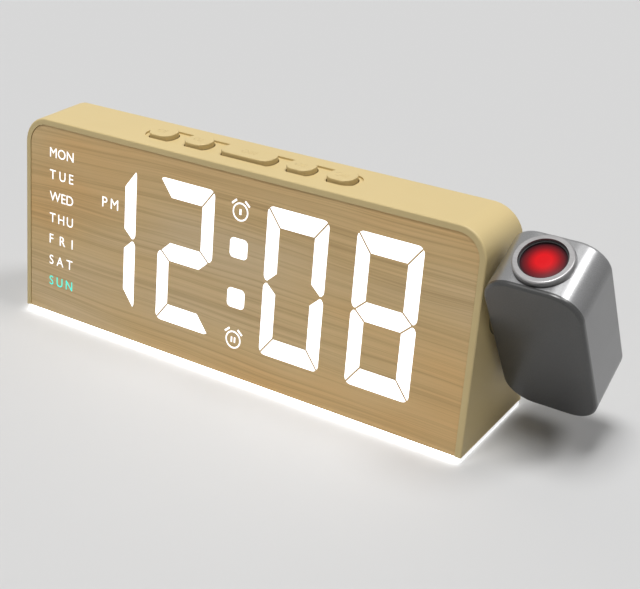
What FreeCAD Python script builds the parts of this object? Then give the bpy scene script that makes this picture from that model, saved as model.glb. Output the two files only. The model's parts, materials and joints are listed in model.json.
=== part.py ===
import FreeCAD, Part

import math
import os

from FreeCAD import Placement, Rotation, Vector

# A projection alarm clock: a wood-look face with lit digits, a glowing strip under the base,
# five buttons in the top and a projector head that tilts at the right end.
# Millimetres. X runs right, Y back and Z up. The origin is the middle of the underside, on the table.

# Housing: a sleeve whose front and back faces lean towards each other
housing_width = 170.0
housing_height = 66.0
top_depth = 20.0
base_depth = 38.8
corner_radius = 9.0
wall = 2.0
rim_round = 0.6
seam = 0.15
ledge_width = 1.2
ledge_thickness = 1.6
screw_boss_radius = 3.0
rear_boss_length = 8.0
boss_web = 2.0
boss_gap = 0.3
boss_over_bush = 3.1

# Feet and light strip under the housing
foot_proud = 0.4
foot_thickness = 0.9
foot_radius = 4.5
foot_from_side = 15.0
foot_from_edge = 6.4
strip_thickness = 1.6
strip_inset = 0.3
strip_round = 1.0

# Face panel and the display behind it
panel_recess = 0.25
panel_thickness = 2.0
lit_thickness = 0.3
film_thickness = 0.5
light_box_depth = 7.0
board_thickness = 1.6
board_post_radius = 2.4
board_edge = 0.6
board_play = 0.3
display_bottom = 8.0
display_top = 59.5
display_left_margin = 1.0
display_right_margin = 3.0
display_post_gap = 0.2
display_post_from_bottom = 10.0
display_post_from_top = 5.5
display_board_from_bottom = 1.0

# Digits, in a row along the face: each is measured from the housing's left side and bottom edge
time_shown = "1208"
digit_width = 21.6
digit_height = 47.0
digit_bottom = 10.8
first_digit_left = 26.7
digit_pitch = 31.0
colon_space = 10.2
stroke_width = 4.6
bar_height = 5.9
digit_round = 2.2
waist_inset = 1.3
segment_gap = 0.5
colon_width = 6.6
colon_height = 6.3
colon_round = 1.5
colon_low = 25.95
colon_high = 41.95
weekday_left = 9.7
weekday_width = 13.0
weekday_low = 8.9
weekday_pitch = 7.4
weekday_cell_height = 5.2
weekday_count = 7
icon_cell_radius = 4.4
icon_low = 13.0
icon_high = 54.1
noon_cell_left = 33.2
noon_cell_width = 8.4
noon_cell_low = 41.6
noon_cell_height = 5.6
led_length = 3.5
led_width = 2.8
led_height = 0.8
chip_thickness = 1.2
driver_x = -29.0
driver_from_bottom = 34.0
driver_width = 10.0
driver_height = 7.0

# Buttons in a shallow recess along the top
button_row_x = -0.9
button_width = 9.0
button_depth = 7.9
button_round = 3.5
button_inner_pitch = 19.2
button_outer_pitch = 33.4
snooze_width = 19.0
button_proud = 1.75
button_top_round = 0.35
button_gap = 0.3
button_travel = 0.5
button_stop_gap = 0.1
button_flange = 0.8
button_flange_thickness = 1.0
recess_length = 79.6
recess_width = 9.3
recess_depth = 0.6
switch_width = 6.0
switch_length = 6.0
switch_height = 1.8
plunger_radius = 1.5
plunger_proud = 0.8
plunger_sunk = 0.7
plunger_gap = 0.05
button_board_thickness = 1.2
button_board_width = 11.6
button_board_overhang = 3.0
button_post_radius = 1.5
button_post_gap = 0.8
button_screw_end = 0.3

# Parts on the back
main_board_left = -30.0
main_board_from_side = 28.0
main_board_low = 14.0
main_board_high = 49.0
main_board_standoff = 5.0
cover_post_bite = 3.0
controller_x = 21.0
controller_from_bottom = 6.0
controller_width = 10.0
door_x = -12.0
door_height = 31.0
door_hole_radius = 13.0
door_gap = 0.3
door_thickness = 1.2
door_ledge = 1.1
door_lug_angle = 20.0
door_lug_play = 4.0
door_foot_gap = 0.1
door_foot_thickness = 0.8
door_foot_play = 0.2
door_stem_thickness = 0.8
door_slot_width = 1.8
door_slot_depth = 0.6
door_turn = 40.0
coin_cell_radius = 10.0
coin_cell_thickness = 3.2
coin_cell_round = 0.4
holder_width = 24.0
holder_floor = 0.9
holder_ring_height = 2.56
holder_ring_wall = 1.0
holder_play = 0.1
contact_thickness = 0.3
contact_width = 4.0
contact_reach = 3.0
inlet_x = 40.0
inlet_height = 19.0
inlet_width = 8.94
inlet_thickness = 3.16
inlet_shell = 0.3
inlet_gap = 0.35
inlet_recess = 0.2
inlet_floor = 0.8
tongue_width = 6.7
tongue_thickness = 0.7
tongue_recess = 0.6
buzzer_x = 21.0
buzzer_height = 36.0
buzzer_radius = 6.0
buzzer_length = 3.6
buzzer_hole_radius = 1.2
buzzer_hole_depth = 0.6
grille_slots = 5
grille_slot_width = 1.2
grille_slot_pitch = 2.4
ribbon_height = 26.0
ribbon_width = 10.0
ribbon_thickness = 0.3
ribbon_sag = 6.0
socket_width = 14.0
socket_length = 3.0
socket_rise = 1.5
lead_socket_from_edge = 6.0
lead_socket_length = 6.0
lead_socket_height = 5.0
lead_rise = 2.0

# Base tray and its lamp board
tray_thickness = 3.5
tray_gap = 0.1
lamp_board_length = 150.0
lamp_board_width = 8.0
lamp_board_thickness = 1.0
lamp_count = 10
lamp_height = 1.2
lamp_width = 3.0
lamp_gap = 0.3
base_boss_height = 9.0
base_screw_from_side = 4.4
base_screw_y = 12.2
base_screw_sink = 0.1

# Screws
screw_radius = 1.0
screw_head_radius = 1.9
screw_head_height = 1.1
screw_bite = 5.0
screw_end_gap = 0.5
screw_head_gap = 0.2
screw_chamfer = 0.33
screw_slot_depth = 0.66
screw_slot_length = 2.28
screw_slot_width = 0.46

# Pivot of the projector head
pivot_height = 40.5
head_gap = 2.5
shaft_radius = 5.0
shaft_bore = 2.6
shaft_past_clip = 2.7
shaft_flange_radius = 8.0
shaft_flange_thickness = 1.5
shaft_groove_depth = 0.5
bush_radius = 7.0
bush_flange_radius = 9.0
bush_flange_thickness = 2.0
running_gap = 0.05
pad_radius = 6.4
pad_play = 0.3
clip_thickness = 0.6
clip_radius = 7.5
clip_mouth_width = 7.0
clip_mouth_from_axis = 2.5
spring_washer_height = 1.2
spring_washer_thickness = 0.5
spring_washer_play = 0.15
spring_washer_inset = 1.0
cable_radius = 1.6
cable_straight = 7.0
cable_slant = 8.0
cable_end_gap = 0.4
cable_bend_share = 0.45

# Projector head: a rounded box, drawn upright about its pivot and then tilted forwards
head_width = 27.9
head_height = 53.4
head_depth = 19.56
head_round = 8.5
head_tilt = 26.75
head_wall = 1.6
head_back_round = 1.0
front_plate_thickness = 1.4
front_plate_round = 0.9
front_plate_lip = 2.5
front_plate_lip_thickness = 1.0
front_plate_lip_gap = 0.1
front_plate_clear = 0.5
ring_radius = 8.15
ring_proud = 1.8
ring_round = 0.4
ring_seat_depth = 0.5
ring_seat_gap = 0.3
ring_hub_radius = 7.3
ring_hub_length = 6.2
ring_snap = 0.4
ring_snap_thickness = 0.7
ring_snap_gap = 0.1
barrel_radius = 6.55
barrel_length = 15.7
barrel_recess = 0.9
barrel_bore = 5.6
barrel_step = 0.8
lens_radius = 6.15
lens_recess = 0.05
lens_edge = 1.6
objective_rise = 0.5
inner_lens_rise = 1.2
inner_lens_depth = 3.0
optics_width = 14.0
optics_low = -14.0
guide_wall = 1.0
guide_gap = 0.5
guide_below_barrel = 5.0
guide_floor = 1.0
slide_width = 9.4
slide_thickness = 1.2
slide_slot_gap = 0.1
slide_drop = 0.5
slide_handle = 2.0
slide_floor = 1.6
condenser_radius = 5.0
condenser_edge = 1.5
condenser_rise = 1.8
condenser_seat = 0.6
ear_thickness = 1.2
ear_root = 1.0
ear_height = 5.0
ear_y = 2.8
ear_screw_x = 9.6
ear_screw_z = 12.0
led_base_width = 4.0
led_base_thickness = 1.0
led_dome_radius = 1.8
small_board_thickness = 1.2
plug_width = 5.0
head_board_reach = 5.0
head_board_gap = 0.3

# How far cuts run past a surface, how near two places count as the same, and the shortest straight edge
past = 1.0
near_enough = 1e-3
shortest_edge = 0.01

# What follows from the sizes above
base_z = foot_proud + strip_thickness
top_z = base_z + housing_height
lean = math.atan2((base_depth - top_depth) / 2, housing_height)
slope_height = math.hypot((base_depth - top_depth) / 2, housing_height)
side_x = housing_width / 2
inner_x = side_x - wall
tray_top = base_z + tray_thickness
panel_back = panel_recess + panel_thickness
film_back = panel_back + film_thickness
light_box_back = film_back + light_box_depth
display_board_back = light_box_back + board_thickness
display_left = weekday_left - side_x - display_left_margin
first_digit_x = first_digit_left - side_x
display_right = first_digit_x + 3 * digit_pitch + colon_space + digit_width + display_right_margin
display_post_left = -inner_x + ledge_width + board_post_radius + display_post_gap
display_post_right = display_right + board_post_radius + board_edge
display_post_low = display_bottom + display_post_from_bottom
display_post_high = display_top - display_post_from_top
rear_boss_x = inner_x - screw_boss_radius - boss_gap
boss_from_pivot = bush_flange_radius + screw_boss_radius + boss_over_bush
rear_boss_low = (pivot_height - base_z - boss_from_pivot) / math.cos(lean)
rear_boss_high = (pivot_height - base_z + boss_from_pivot) / math.cos(lean)
main_board_right = side_x - main_board_from_side
main_board_front = panel_back + main_board_standoff
main_board_back = main_board_front + board_thickness
recess_floor = top_z - recess_depth
ceiling = top_z - wall
button_flange_bottom = ceiling - button_flange_thickness
switch_top = button_flange_bottom - plunger_proud
button_board_top = switch_top - switch_height
button_board_bottom = button_board_top - button_board_thickness
head_left = side_x + head_gap
head_x = head_left + head_width / 2
bush_start = inner_x - bush_flange_thickness
clip_start = bush_start - spring_washer_height - clip_thickness
shaft_end = clip_start - shaft_past_clip

SEGMENTS_OF = {
    "0": "abcdef", "1": "bc", "2": "abged", "3": "abgcd", "4": "fgbc",
    "5": "afgcd", "6": "afgedc", "7": "abc", "8": "abcdefg", "9": "abcfgd",
}

# Places where a shape drawn flat is set: local X stays across the clock, local Y runs up the sloping
# face from its bottom edge, and local Z points out of the face
FRONT = Placement(Vector(0, -base_depth / 2, base_z), Rotation(Vector(1, 0, 0), 90 - math.degrees(lean)))
BACK = Placement(Vector(), Rotation(Vector(0, 0, 1), 180)).multiply(FRONT)
HEAD = Placement(Vector(head_x, 0, pivot_height), Rotation(Vector(1, 0, 0), head_tilt))
UPRIGHT = Placement(Vector(), Rotation(Vector(1, 0, 0), 90))


def placed(shape, place):
    result = shape.copy()
    result.Placement = place.multiply(result.Placement)
    return result


def shifted(shape, x=0.0, y=0.0, z=0.0):
    return placed(shape, Placement(Vector(x, y, z), Rotation()))


def box(x0, x1, y0, y1, z0, z1):
    return Part.makeBox(x1 - x0, y1 - y0, z1 - z0, Vector(x0, y0, z0))


def upright_rod(radius, x, y, z0, z1):
    return Part.makeCylinder(radius, z1 - z0, Vector(x, y, z0))


def upright_tube(outer, inner, z0, z1):
    return upright_rod(outer, 0, 0, z0, z1).cut(upright_rod(inner, 0, 0, z0, z1))


def pivot_rod(radius, x0, x1):
    return Part.makeCylinder(radius, x1 - x0, Vector(x0, 0, pivot_height), Vector(1, 0, 0))


def pivot_tube(outer, inner, x0, x1):
    return pivot_rod(outer, x0, x1).cut(pivot_rod(inner, x0, x1))


def rounded_face(points, radii):
    """A flat face whose corners are rounded, each by its own radius; 0 keeps a corner sharp."""
    corners = [Vector(x, y, 0) for x, y in points]
    turns = []
    for index, (corner, radius) in enumerate(zip(corners, radii)):
        if radius <= 0:
            turns.append((corner, None, corner))
            continue
        before = (corners[index - 1] - corner).normalize()
        after = (corners[(index + 1) % len(corners)] - corner).normalize()
        half_angle = before.getAngle(after) / 2
        setback = radius / math.tan(half_angle)
        middle = corner + (before + after).normalize() * (radius / math.sin(half_angle) - radius)
        turns.append((corner + before * setback, middle, corner + after * setback))
    edges = []
    for index, (start, middle, end) in enumerate(turns):
        if middle is not None:
            edges.append(Part.Arc(start, middle, end).toShape())
        following = turns[(index + 1) % len(turns)][0]
        if following.distanceToPoint(end) > near_enough:
            edges.append(Part.makeLine(end, following))
    return Part.Face(Part.Wire(edges))


def rounded_bar(width, height, radius, z0, z1):
    """A block with rounded upright edges, centred on the Z axis."""
    half_x = width / 2
    half_y = height / 2
    points = [(-half_x, -half_y), (half_x, -half_y), (half_x, half_y), (-half_x, half_y)]
    limit = min(half_x, half_y) - shortest_edge
    face = rounded_face(points, [min(radius, limit)] * 4)
    return shifted(face.extrude(Vector(0, 0, z1 - z0)), z=z0)


def face_box(x0, x1, low, high, near, far):
    """A block on a sloping face, from depth near to depth far under the face's plane."""
    return box(x0, x1, low, high, -far, -near)


def face_rod(radius, x, height, near, far):
    return upright_rod(radius, x, height, -far, -near)


def screw(length):
    """A pan-head screw along -Z from the underside of its head, with a cross slot."""
    head = Part.makeCylinder(screw_head_radius, screw_head_height)
    head = head.makeChamfer(screw_chamfer, [head.Edges[0]])
    slot_reach = screw_slot_length / 2
    slot_half = screw_slot_width / 2
    top = screw_head_height + past
    bottom = screw_head_height - screw_slot_depth
    cross = box(-slot_reach, slot_reach, -slot_half, slot_half, bottom, top)
    cross = cross.fuse(box(-slot_half, slot_half, -slot_reach, slot_reach, bottom, top))
    return head.cut(cross).fuse(upright_rod(screw_radius, 0, 0, -length, 0)).removeSplitter()


def group(shapes):
    return Part.makeCompound(shapes)


def arch_block(inset, bottom):
    """The housing's outline seen from the front, drawn in by inset, and deeper than the housing."""
    half = side_x - inset
    top = top_z - inset
    radius = max(corner_radius - inset, wall / 2)
    points = [(-half, bottom), (half, bottom), (half, top), (-half, top)]
    block = rounded_face(points, [0, 0, radius, radius]).extrude(Vector(0, 0, 2 * base_depth))
    return shifted(placed(block, UPRIGHT), y=base_depth)


def face_slab(near, far):
    """All that lies between two depths under a sloping face."""
    return face_box(-housing_width, housing_width, -base_depth, 2 * housing_height, near, far)


def face_y(z, depth):
    """How far back a plane at this depth under the front face lies, at height z."""
    return -base_depth / 2 + (z - base_z) * math.tan(lean) + depth / math.cos(lean)


def on_plane(place, edge):
    """Whether an edge lies in the outer plane of a face."""
    normal = place.Rotation.multVec(Vector(0, 0, 1))
    points = [vertex.Point for vertex in edge.Vertexes] + [edge.CenterOfMass]
    return all(abs((point - place.Base).dot(normal)) < near_enough for point in points)


def housing_outside():
    half_base = base_depth / 2
    half_top = top_depth / 2
    points = [(-half_base, base_z), (half_base, base_z), (half_top, top_z), (-half_top, top_z)]
    wedge = Part.Face(Part.makePolygon([Vector(-side_x, y, z) for y, z in points + points[:1]]))
    solid = arch_block(0, base_z).common(wedge.extrude(Vector(housing_width, 0, 0)))
    rims = []
    for edge in solid.Edges:
        lowest = edge.BoundBox.ZMax < base_z + near_enough
        if not lowest and (on_plane(FRONT, edge) or on_plane(BACK, edge)):
            rims.append(edge)
    return solid.makeFillet(rim_round, rims)


def button_places():
    """Each button's middle across the clock, with its width, from left to right."""
    small = button_width
    return [
        (button_row_x - button_outer_pitch, small),
        (button_row_x - button_inner_pitch, small),
        (button_row_x, snooze_width),
        (button_row_x + button_inner_pitch, small),
        (button_row_x + button_outer_pitch, small),
    ]


def button_post_places():
    """Posts that carry the button board: one past each end and one on each side of the long button."""
    end = button_outer_pitch + button_width / 2 + button_flange + button_post_radius + button_post_gap
    beside = (snooze_width / 2 + button_inner_pitch - button_width / 2) / 2
    return [button_row_x + step for step in (-end, -beside, beside, end)]


def rear_screw_places():
    return [(x, height) for x in (-rear_boss_x, rear_boss_x) for height in (rear_boss_low, rear_boss_high)]


def base_screw_places():
    x = side_x - base_screw_from_side
    return [(sx * x, sy * base_screw_y) for sx in (-1, 1) for sy in (-1, 1)]


def display_screw_places():
    return [
        (x, height)
        for x in (display_post_left, display_post_right)
        for height in (display_post_low, display_post_high)
    ]


def main_screw_places():
    edge = board_post_radius + board_edge
    return [
        (x, height)
        for x in (main_board_left + edge, main_board_right - edge)
        for height in (main_board_low + edge, main_board_high - edge)
    ]


def make_housing_shell():
    shell = housing_outside().cut(arch_block(wall, base_z - past))
    ring = arch_block(wall, tray_top + tray_gap).cut(arch_block(wall + ledge_width, tray_top))
    for place in (FRONT, BACK):
        shell = shell.fuse(ring.common(placed(face_slab(panel_back, panel_back + ledge_thickness), place)))
    inside = arch_block(wall / 2, base_z)
    boss_end = panel_back + rear_boss_length
    for x, height in rear_screw_places():
        boss = face_rod(screw_boss_radius, -x, height, panel_back, boss_end)
        inner, outer = sorted((-x, math.copysign(inner_x + wall / 2, -x)))
        web = face_box(inner, outer, height - boss_web / 2, height + boss_web / 2, panel_back, boss_end)
        shell = shell.fuse(placed(boss.fuse(web), BACK).common(inside))
    for x, y in base_screw_places():
        boss = upright_rod(screw_boss_radius, x, y, tray_top, tray_top + base_boss_height)
        shell = shell.fuse(boss.common(inside))
    for x in button_post_places():
        shell = shell.fuse(upright_rod(button_post_radius, x, 0, button_board_top, ceiling + recess_depth / 2))
    for x, height in rear_screw_places():
        shell = shell.cut(placed(face_rod(screw_radius, -x, height, 0, panel_back + screw_bite), BACK))
    for x, y in base_screw_places():
        shell = shell.cut(upright_rod(screw_radius, x, y, base_z, tray_top + screw_bite))
    for x in button_post_places():
        shell = shell.cut(upright_rod(screw_radius, x, 0, button_board_top - past, ceiling))
    recess = rounded_bar(recess_length, recess_width, recess_width / 2, recess_floor, top_z + past)
    shell = shell.cut(shifted(recess, x=button_row_x))
    for x, width in button_places():
        opening = rounded_bar(width + 2 * button_gap, button_depth + 2 * button_gap,
                              button_round + button_gap, ceiling - past, top_z)
        shell = shell.cut(shifted(opening, x=x))
    shell = shell.cut(pivot_rod(bush_radius, bush_start, side_x + past))
    return shell.removeSplitter()


def digit_outline(height0, height1, near, far):
    """One half of a digit's outline: a box with four rounded corners."""
    points = [(0, height0), (digit_width, height0), (digit_width, height1), (0, height1)]
    face = rounded_face(points, [digit_round] * 4)
    return shifted(face.extrude(Vector(0, 0, far - near)), z=-far)


def strip_between(start, end, near, far):
    """A narrow slot along the line from start to end, and a little past both."""
    direction = Vector(end[0] - start[0], end[1] - start[1], 0)
    length = direction.Length
    angle = math.degrees(math.atan2(direction.y, direction.x))
    slot = box(-segment_gap, length + segment_gap, -segment_gap / 2, segment_gap / 2, -far, -near)
    return placed(slot, Placement(Vector(start[0], start[1], 0), Rotation(Vector(0, 0, 1), angle)))


def digit_segment(name, near, far):
    """One stroke of a digit, from the digit's bottom left corner, between two depths."""
    right = digit_width
    top = digit_height
    middle = digit_height / 2
    inner_left = stroke_width
    inner_right = digit_width - stroke_width
    inner_top = digit_height - bar_height
    above = middle + bar_height / 2
    below = middle - bar_height / 2
    waist_left = (waist_inset, middle)
    waist_right = (right - waist_inset, middle)
    shapes = {
        "a": [(0, top), (right, top), (inner_right, inner_top), (inner_left, inner_top)],
        "b": [(right, top), (right, middle), waist_right, (inner_right, above), (inner_right, inner_top)],
        "c": [(right, middle), (right, 0), (inner_right, bar_height), (inner_right, below), waist_right],
        "d": [(0, 0), (right, 0), (inner_right, bar_height), (inner_left, bar_height)],
        "e": [(0, middle), waist_left, (inner_left, below), (inner_left, bar_height), (0, 0)],
        "f": [(0, top), (inner_left, inner_top), (inner_left, above), waist_left, (0, middle)],
        "g": [waist_left, (inner_left, above), (inner_right, above),
              waist_right, (inner_right, below), (inner_left, below)],
    }
    outline = [Vector(x, y, -far) for x, y in shapes[name]]
    stroke = Part.Face(Part.makePolygon(outline + outline[:1])).extrude(Vector(0, 0, far - near))
    if name in "abf":
        stroke = stroke.common(digit_outline(middle, top, near, far))
    if name in "cde":
        stroke = stroke.common(digit_outline(0, middle, near, far))
    mitres = [
        ((0, top), (inner_left, inner_top)), ((right, top), (inner_right, inner_top)),
        ((0, 0), (inner_left, bar_height)), ((right, 0), (inner_right, bar_height)),
        (waist_left, (inner_left, above)), (waist_left, (inner_left, below)),
        (waist_right, (inner_right, above)), (waist_right, (inner_right, below)),
        ((0, middle), waist_left), ((right, middle), waist_right),
    ]
    for start, end in mitres:
        stroke = stroke.cut(strip_between(start, end, near, far))
    return stroke


def digit_lefts():
    """Where each of the four digits starts, with the colon's room after the second."""
    return [first_digit_x + place * digit_pitch + (colon_space if place > 1 else 0) for place in range(4)]


def digit_strokes(near, far, shown):
    """All strokes of the four digits, or only those that the given time lights."""
    strokes = []
    for left, figure in zip(digit_lefts(), shown):
        for name in SEGMENTS_OF[figure]:
            strokes.append(shifted(digit_segment(name, near, far), x=left, y=digit_bottom))
    return strokes


def colon_x():
    lefts = digit_lefts()
    return (lefts[1] + digit_width + lefts[2]) / 2


def colon_squares(near, far):
    dot = rounded_bar(colon_width, colon_height, colon_round, -far, -near)
    return [shifted(dot, x=colon_x(), y=height) for height in (colon_low, colon_high)]


def make_wood_face_panel():
    panel = arch_block(wall + seam, base_z).common(placed(face_slab(panel_recess, panel_back), FRONT))
    for x, height in display_screw_places():
        post = face_rod(board_post_radius, x, height, panel_back, light_box_back)
        hole = face_rod(screw_radius, x, height, light_box_back - screw_bite, light_box_back + past)
        panel = panel.fuse(placed(post, FRONT)).cut(placed(hole, FRONT))
    pockets = digit_strokes(0, panel_recess + lit_thickness, time_shown)
    pockets += colon_squares(0, panel_recess + lit_thickness)
    return panel.cut(placed(group(pockets), FRONT))


def make_lit_segments():
    """The glowing shapes, flush with the panel: the strokes of the time shown and the colon's squares."""
    far = panel_recess + lit_thickness
    shapes = digit_strokes(panel_recess, far, time_shown) + colon_squares(panel_recess, far)
    return placed(group(shapes), FRONT)


def make_diffuser_film():
    film = face_box(display_left, display_right, display_bottom, display_top, panel_back, film_back)
    return placed(film, FRONT)


def cell_centres():
    """The middle of every cell of the light box, where its lamp sits."""
    middle = digit_height / 2
    half_stroke = stroke_width / 2
    half_bar = bar_height / 2
    quarter = digit_height / 4
    places = {
        "a": (digit_width / 2, digit_height - half_bar), "g": (digit_width / 2, middle),
        "d": (digit_width / 2, half_bar), "b": (digit_width - half_stroke, middle + quarter),
        "c": (digit_width - half_stroke, middle - quarter), "e": (half_stroke, middle - quarter),
        "f": (half_stroke, middle + quarter),
    }
    centres = []
    for left in digit_lefts():
        for name in "abcdefg":
            across, up = places[name]
            centres.append((left + across, digit_bottom + up, name in "bcef"))
    for height in (colon_low, colon_high, icon_low, icon_high):
        centres.append((colon_x(), height, False))
    for row in range(weekday_count):
        up = weekday_low + row * weekday_pitch + weekday_cell_height / 2
        centres.append((weekday_left - side_x + weekday_width / 2, up, False))
    centres.append((noon_cell_left - side_x + noon_cell_width / 2, noon_cell_low + noon_cell_height / 2, False))
    return centres


def make_light_box():
    block = face_box(display_left, display_right, display_bottom, display_top, film_back, light_box_back)
    near = film_back - past
    far = light_box_back + past
    cells = digit_strokes(near, far, "8888") + colon_squares(near, far)
    for height in (icon_low, icon_high):
        cells.append(face_rod(icon_cell_radius, colon_x(), height, near, far))
    left = weekday_left - side_x
    for row in range(weekday_count):
        low = weekday_low + row * weekday_pitch
        cells.append(face_box(left, left + weekday_width, low, low + weekday_cell_height, near, far))
    left = noon_cell_left - side_x
    cells.append(face_box(left, left + noon_cell_width, noon_cell_low, noon_cell_low + noon_cell_height, near, far))
    return placed(block.cut(group(cells)), FRONT)


def make_display_leds():
    lamps = []
    for x, height, turned in cell_centres():
        half_x, half_y = led_length / 2, led_width / 2
        if turned:
            half_x, half_y = half_y, half_x
        lamps.append(face_box(x - half_x, x + half_x, height - half_y, height + half_y,
                              light_box_back - led_height, light_box_back))
    return placed(group(lamps), FRONT)


def board_with_holes(x0, x1, low, high, near, far, holes, place):
    board = face_box(x0, x1, low, high, near, far)
    for x, height in holes:
        board = board.cut(face_rod(screw_radius, x, height, near - past, far + past))
    return placed(board, place)


def make_display_board():
    edge = board_post_radius
    low = display_bottom + display_board_from_bottom
    return board_with_holes(display_post_left - edge, display_post_right + edge, low, display_top,
                            light_box_back, display_board_back, display_screw_places(), FRONT)


def face_screws(places, under_head, length, place, flip):
    """Screws whose heads stand under a face: flip turns the heads inwards."""
    turn = Rotation(Vector(1, 0, 0), 180 if flip else 0)
    return placed(group([
        placed(screw(length), Placement(Vector(x, height, -under_head), turn)) for x, height in places
    ]), place)


def make_board_screws():
    """The screws of the display board, the main board and the button board."""
    display_length = board_thickness + screw_bite - screw_end_gap
    main_length = board_thickness + cover_post_bite
    button_length = button_board_thickness + ceiling - button_board_top - button_screw_end
    display = face_screws(display_screw_places(), display_board_back, display_length, FRONT, True)
    places = [(-x, height) for x, height in main_screw_places()]
    main_screws = face_screws(places, main_board_back, main_length, BACK, True)
    turn = Rotation(Vector(1, 0, 0), 180)
    button = [placed(screw(button_length), Placement(Vector(x, 0, button_board_bottom), turn))
              for x in button_post_places()]
    return group(display.Solids + main_screws.Solids + button)


def make_chips():
    """The display's driver on its board and the controller on the main board."""
    half = driver_width / 2
    low = display_bottom + driver_from_bottom
    driver = face_box(driver_x - half, driver_x + half, low, low + driver_height,
                      display_board_back, display_board_back + chip_thickness)
    half = controller_width / 2
    low = main_board_low + controller_from_bottom
    controller = face_box(-controller_x - half, -controller_x + half, low, low + controller_width,
                          main_board_back, main_board_back + chip_thickness)
    return group([placed(driver, FRONT), placed(controller, BACK)])


def button_cap(x, width):
    pad = rounded_bar(width, button_depth, button_round, ceiling, recess_floor + button_proud)
    tops = [edge for edge in pad.Edges if edge.BoundBox.ZMin > recess_floor + button_proud - near_enough]
    pad = pad.makeFillet(button_top_round, tops)
    flange = rounded_bar(width + 2 * button_flange, button_depth + 2 * button_flange,
                         button_round + button_flange, button_flange_bottom, ceiling)
    return shifted(pad.fuse(flange).removeSplitter(), x=x)


def switch_plunger(x):
    return upright_rod(plunger_radius, x, 0, switch_top - plunger_sunk, button_flange_bottom)


def make_tact_switches():
    switches = []
    for x, _ in button_places():
        body = box(x - switch_width / 2, x + switch_width / 2, -switch_length / 2, switch_length / 2,
                   button_board_top, switch_top)
        well = upright_rod(plunger_radius + plunger_gap, x, 0,
                           switch_top - plunger_sunk - button_travel - button_stop_gap, switch_top + past)
        switches.append(body.cut(well))
    return group(switches)


def make_button_board():
    posts = button_post_places()
    half = button_board_width / 2
    board = box(posts[0] - button_board_overhang, posts[-1] + button_board_overhang, -half, half,
                button_board_bottom, button_board_top)
    for x in posts:
        board = board.cut(upright_rod(screw_radius, x, 0, button_board_bottom - past, button_board_top + past))
    return board


def sector(outer, inner, near, far, middle_angle, span):
    """Part of a flat ring round the Z axis, between two depths."""
    start = middle_angle - span / 2
    origin = Vector(0, 0, -far)
    up = Vector(0, 0, 1)
    height = far - near
    piece = Part.makeCylinder(outer, height, origin, up, span).cut(Part.makeCylinder(inner, height, origin, up, span))
    return placed(piece, Placement(Vector(), Rotation(up, start)))


def lug_angles():
    return (0, 180)


def make_rear_cover():
    cover = arch_block(wall + seam, base_z).common(placed(face_slab(panel_recess, panel_back), BACK))
    local = [face_rod(board_post_radius, -x, height, panel_back, main_board_front)
             for x, height in main_screw_places()]
    cover = cover.fuse(placed(group(local), BACK))
    ledge_start = panel_recess + door_thickness
    cuts = [shifted(upright_rod(door_hole_radius, 0, 0, -ledge_start, past), x=-door_x, y=door_height)]
    mouth = upright_rod(door_hole_radius - door_ledge, 0, 0, -panel_back - past, past)
    for angle in lug_angles():
        mouth = mouth.fuse(sector(door_hole_radius, door_hole_radius - door_ledge - past, ledge_start - past,
                                  panel_back + past, angle + door_turn, door_lug_angle + door_lug_play))
    cuts.append(shifted(mouth, x=-door_x, y=door_height))
    slot = rounded_bar(inlet_width + 2 * inlet_gap, inlet_thickness + 2 * inlet_gap,
                       inlet_thickness / 2 + inlet_gap, -panel_back - past, past)
    cuts.append(shifted(slot, x=-inlet_x, y=inlet_height))
    for row in range(grille_slots):
        offset = (row - (grille_slots - 1) / 2) * grille_slot_pitch
        length = 2 * math.sqrt(max(buzzer_radius ** 2 - offset ** 2, grille_slot_width ** 2))
        slit = rounded_bar(length, grille_slot_width, grille_slot_width / 2, -panel_back - past, past)
        cuts.append(shifted(slit, x=-buzzer_x, y=buzzer_height + offset))
    for x, height in rear_screw_places():
        cuts.append(face_rod(screw_head_radius + screw_head_gap, -x, height, -past, panel_recess + screw_head_height))
        cuts.append(face_rod(screw_radius, -x, height, 0, panel_back + past))
    hole_end = main_board_front - cover_post_bite - screw_end_gap
    for x, height in main_screw_places():
        cuts.append(face_rod(screw_radius, -x, height, hole_end, main_board_front + past))
    return cover.cut(placed(group(cuts), BACK)).removeSplitter()


def make_rear_screws():
    under_head = panel_recess + screw_head_height
    length = panel_back - under_head + screw_bite - screw_end_gap
    places = [(-x, height) for x, height in rear_screw_places()]
    return face_screws(places, under_head, length, BACK, False)


def make_battery_door():
    """A round door that turns to unlock: two lugs hook behind the ledge of its hole."""
    radius = door_hole_radius - door_gap
    far = panel_recess + door_thickness
    door = upright_rod(radius, 0, 0, -far, -panel_recess)
    slot = rounded_bar(radius, door_slot_width, door_slot_width / 2, -panel_recess - door_slot_depth, 0)
    door = door.cut(slot)
    stem_outer = door_hole_radius - door_ledge - door_gap
    stem_inner = stem_outer - door_stem_thickness
    foot_near = panel_back + door_foot_gap
    foot_far = foot_near + door_foot_thickness
    for angle in lug_angles():
        stem = sector(stem_outer, stem_inner, panel_recess, foot_far, angle, door_lug_angle)
        foot = sector(door_hole_radius - door_foot_play, stem_inner, foot_near, foot_far, angle, door_lug_angle)
        door = door.fuse(stem).fuse(foot)
    return placed(shifted(door.removeSplitter(), x=-door_x, y=door_height), BACK)


def cell_base_depth():
    return main_board_front - holder_floor


def make_coin_cell_holder():
    half = holder_width / 2
    floor = -cell_base_depth()
    base = box(-half, half, -half, half, -main_board_front, floor)
    inner = coin_cell_radius + holder_play
    ring = upright_tube(inner + holder_ring_wall, inner, floor, floor + holder_ring_height)
    holder = base.fuse(ring).removeSplitter()
    return placed(shifted(holder, x=-door_x, y=door_height), BACK)


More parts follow.
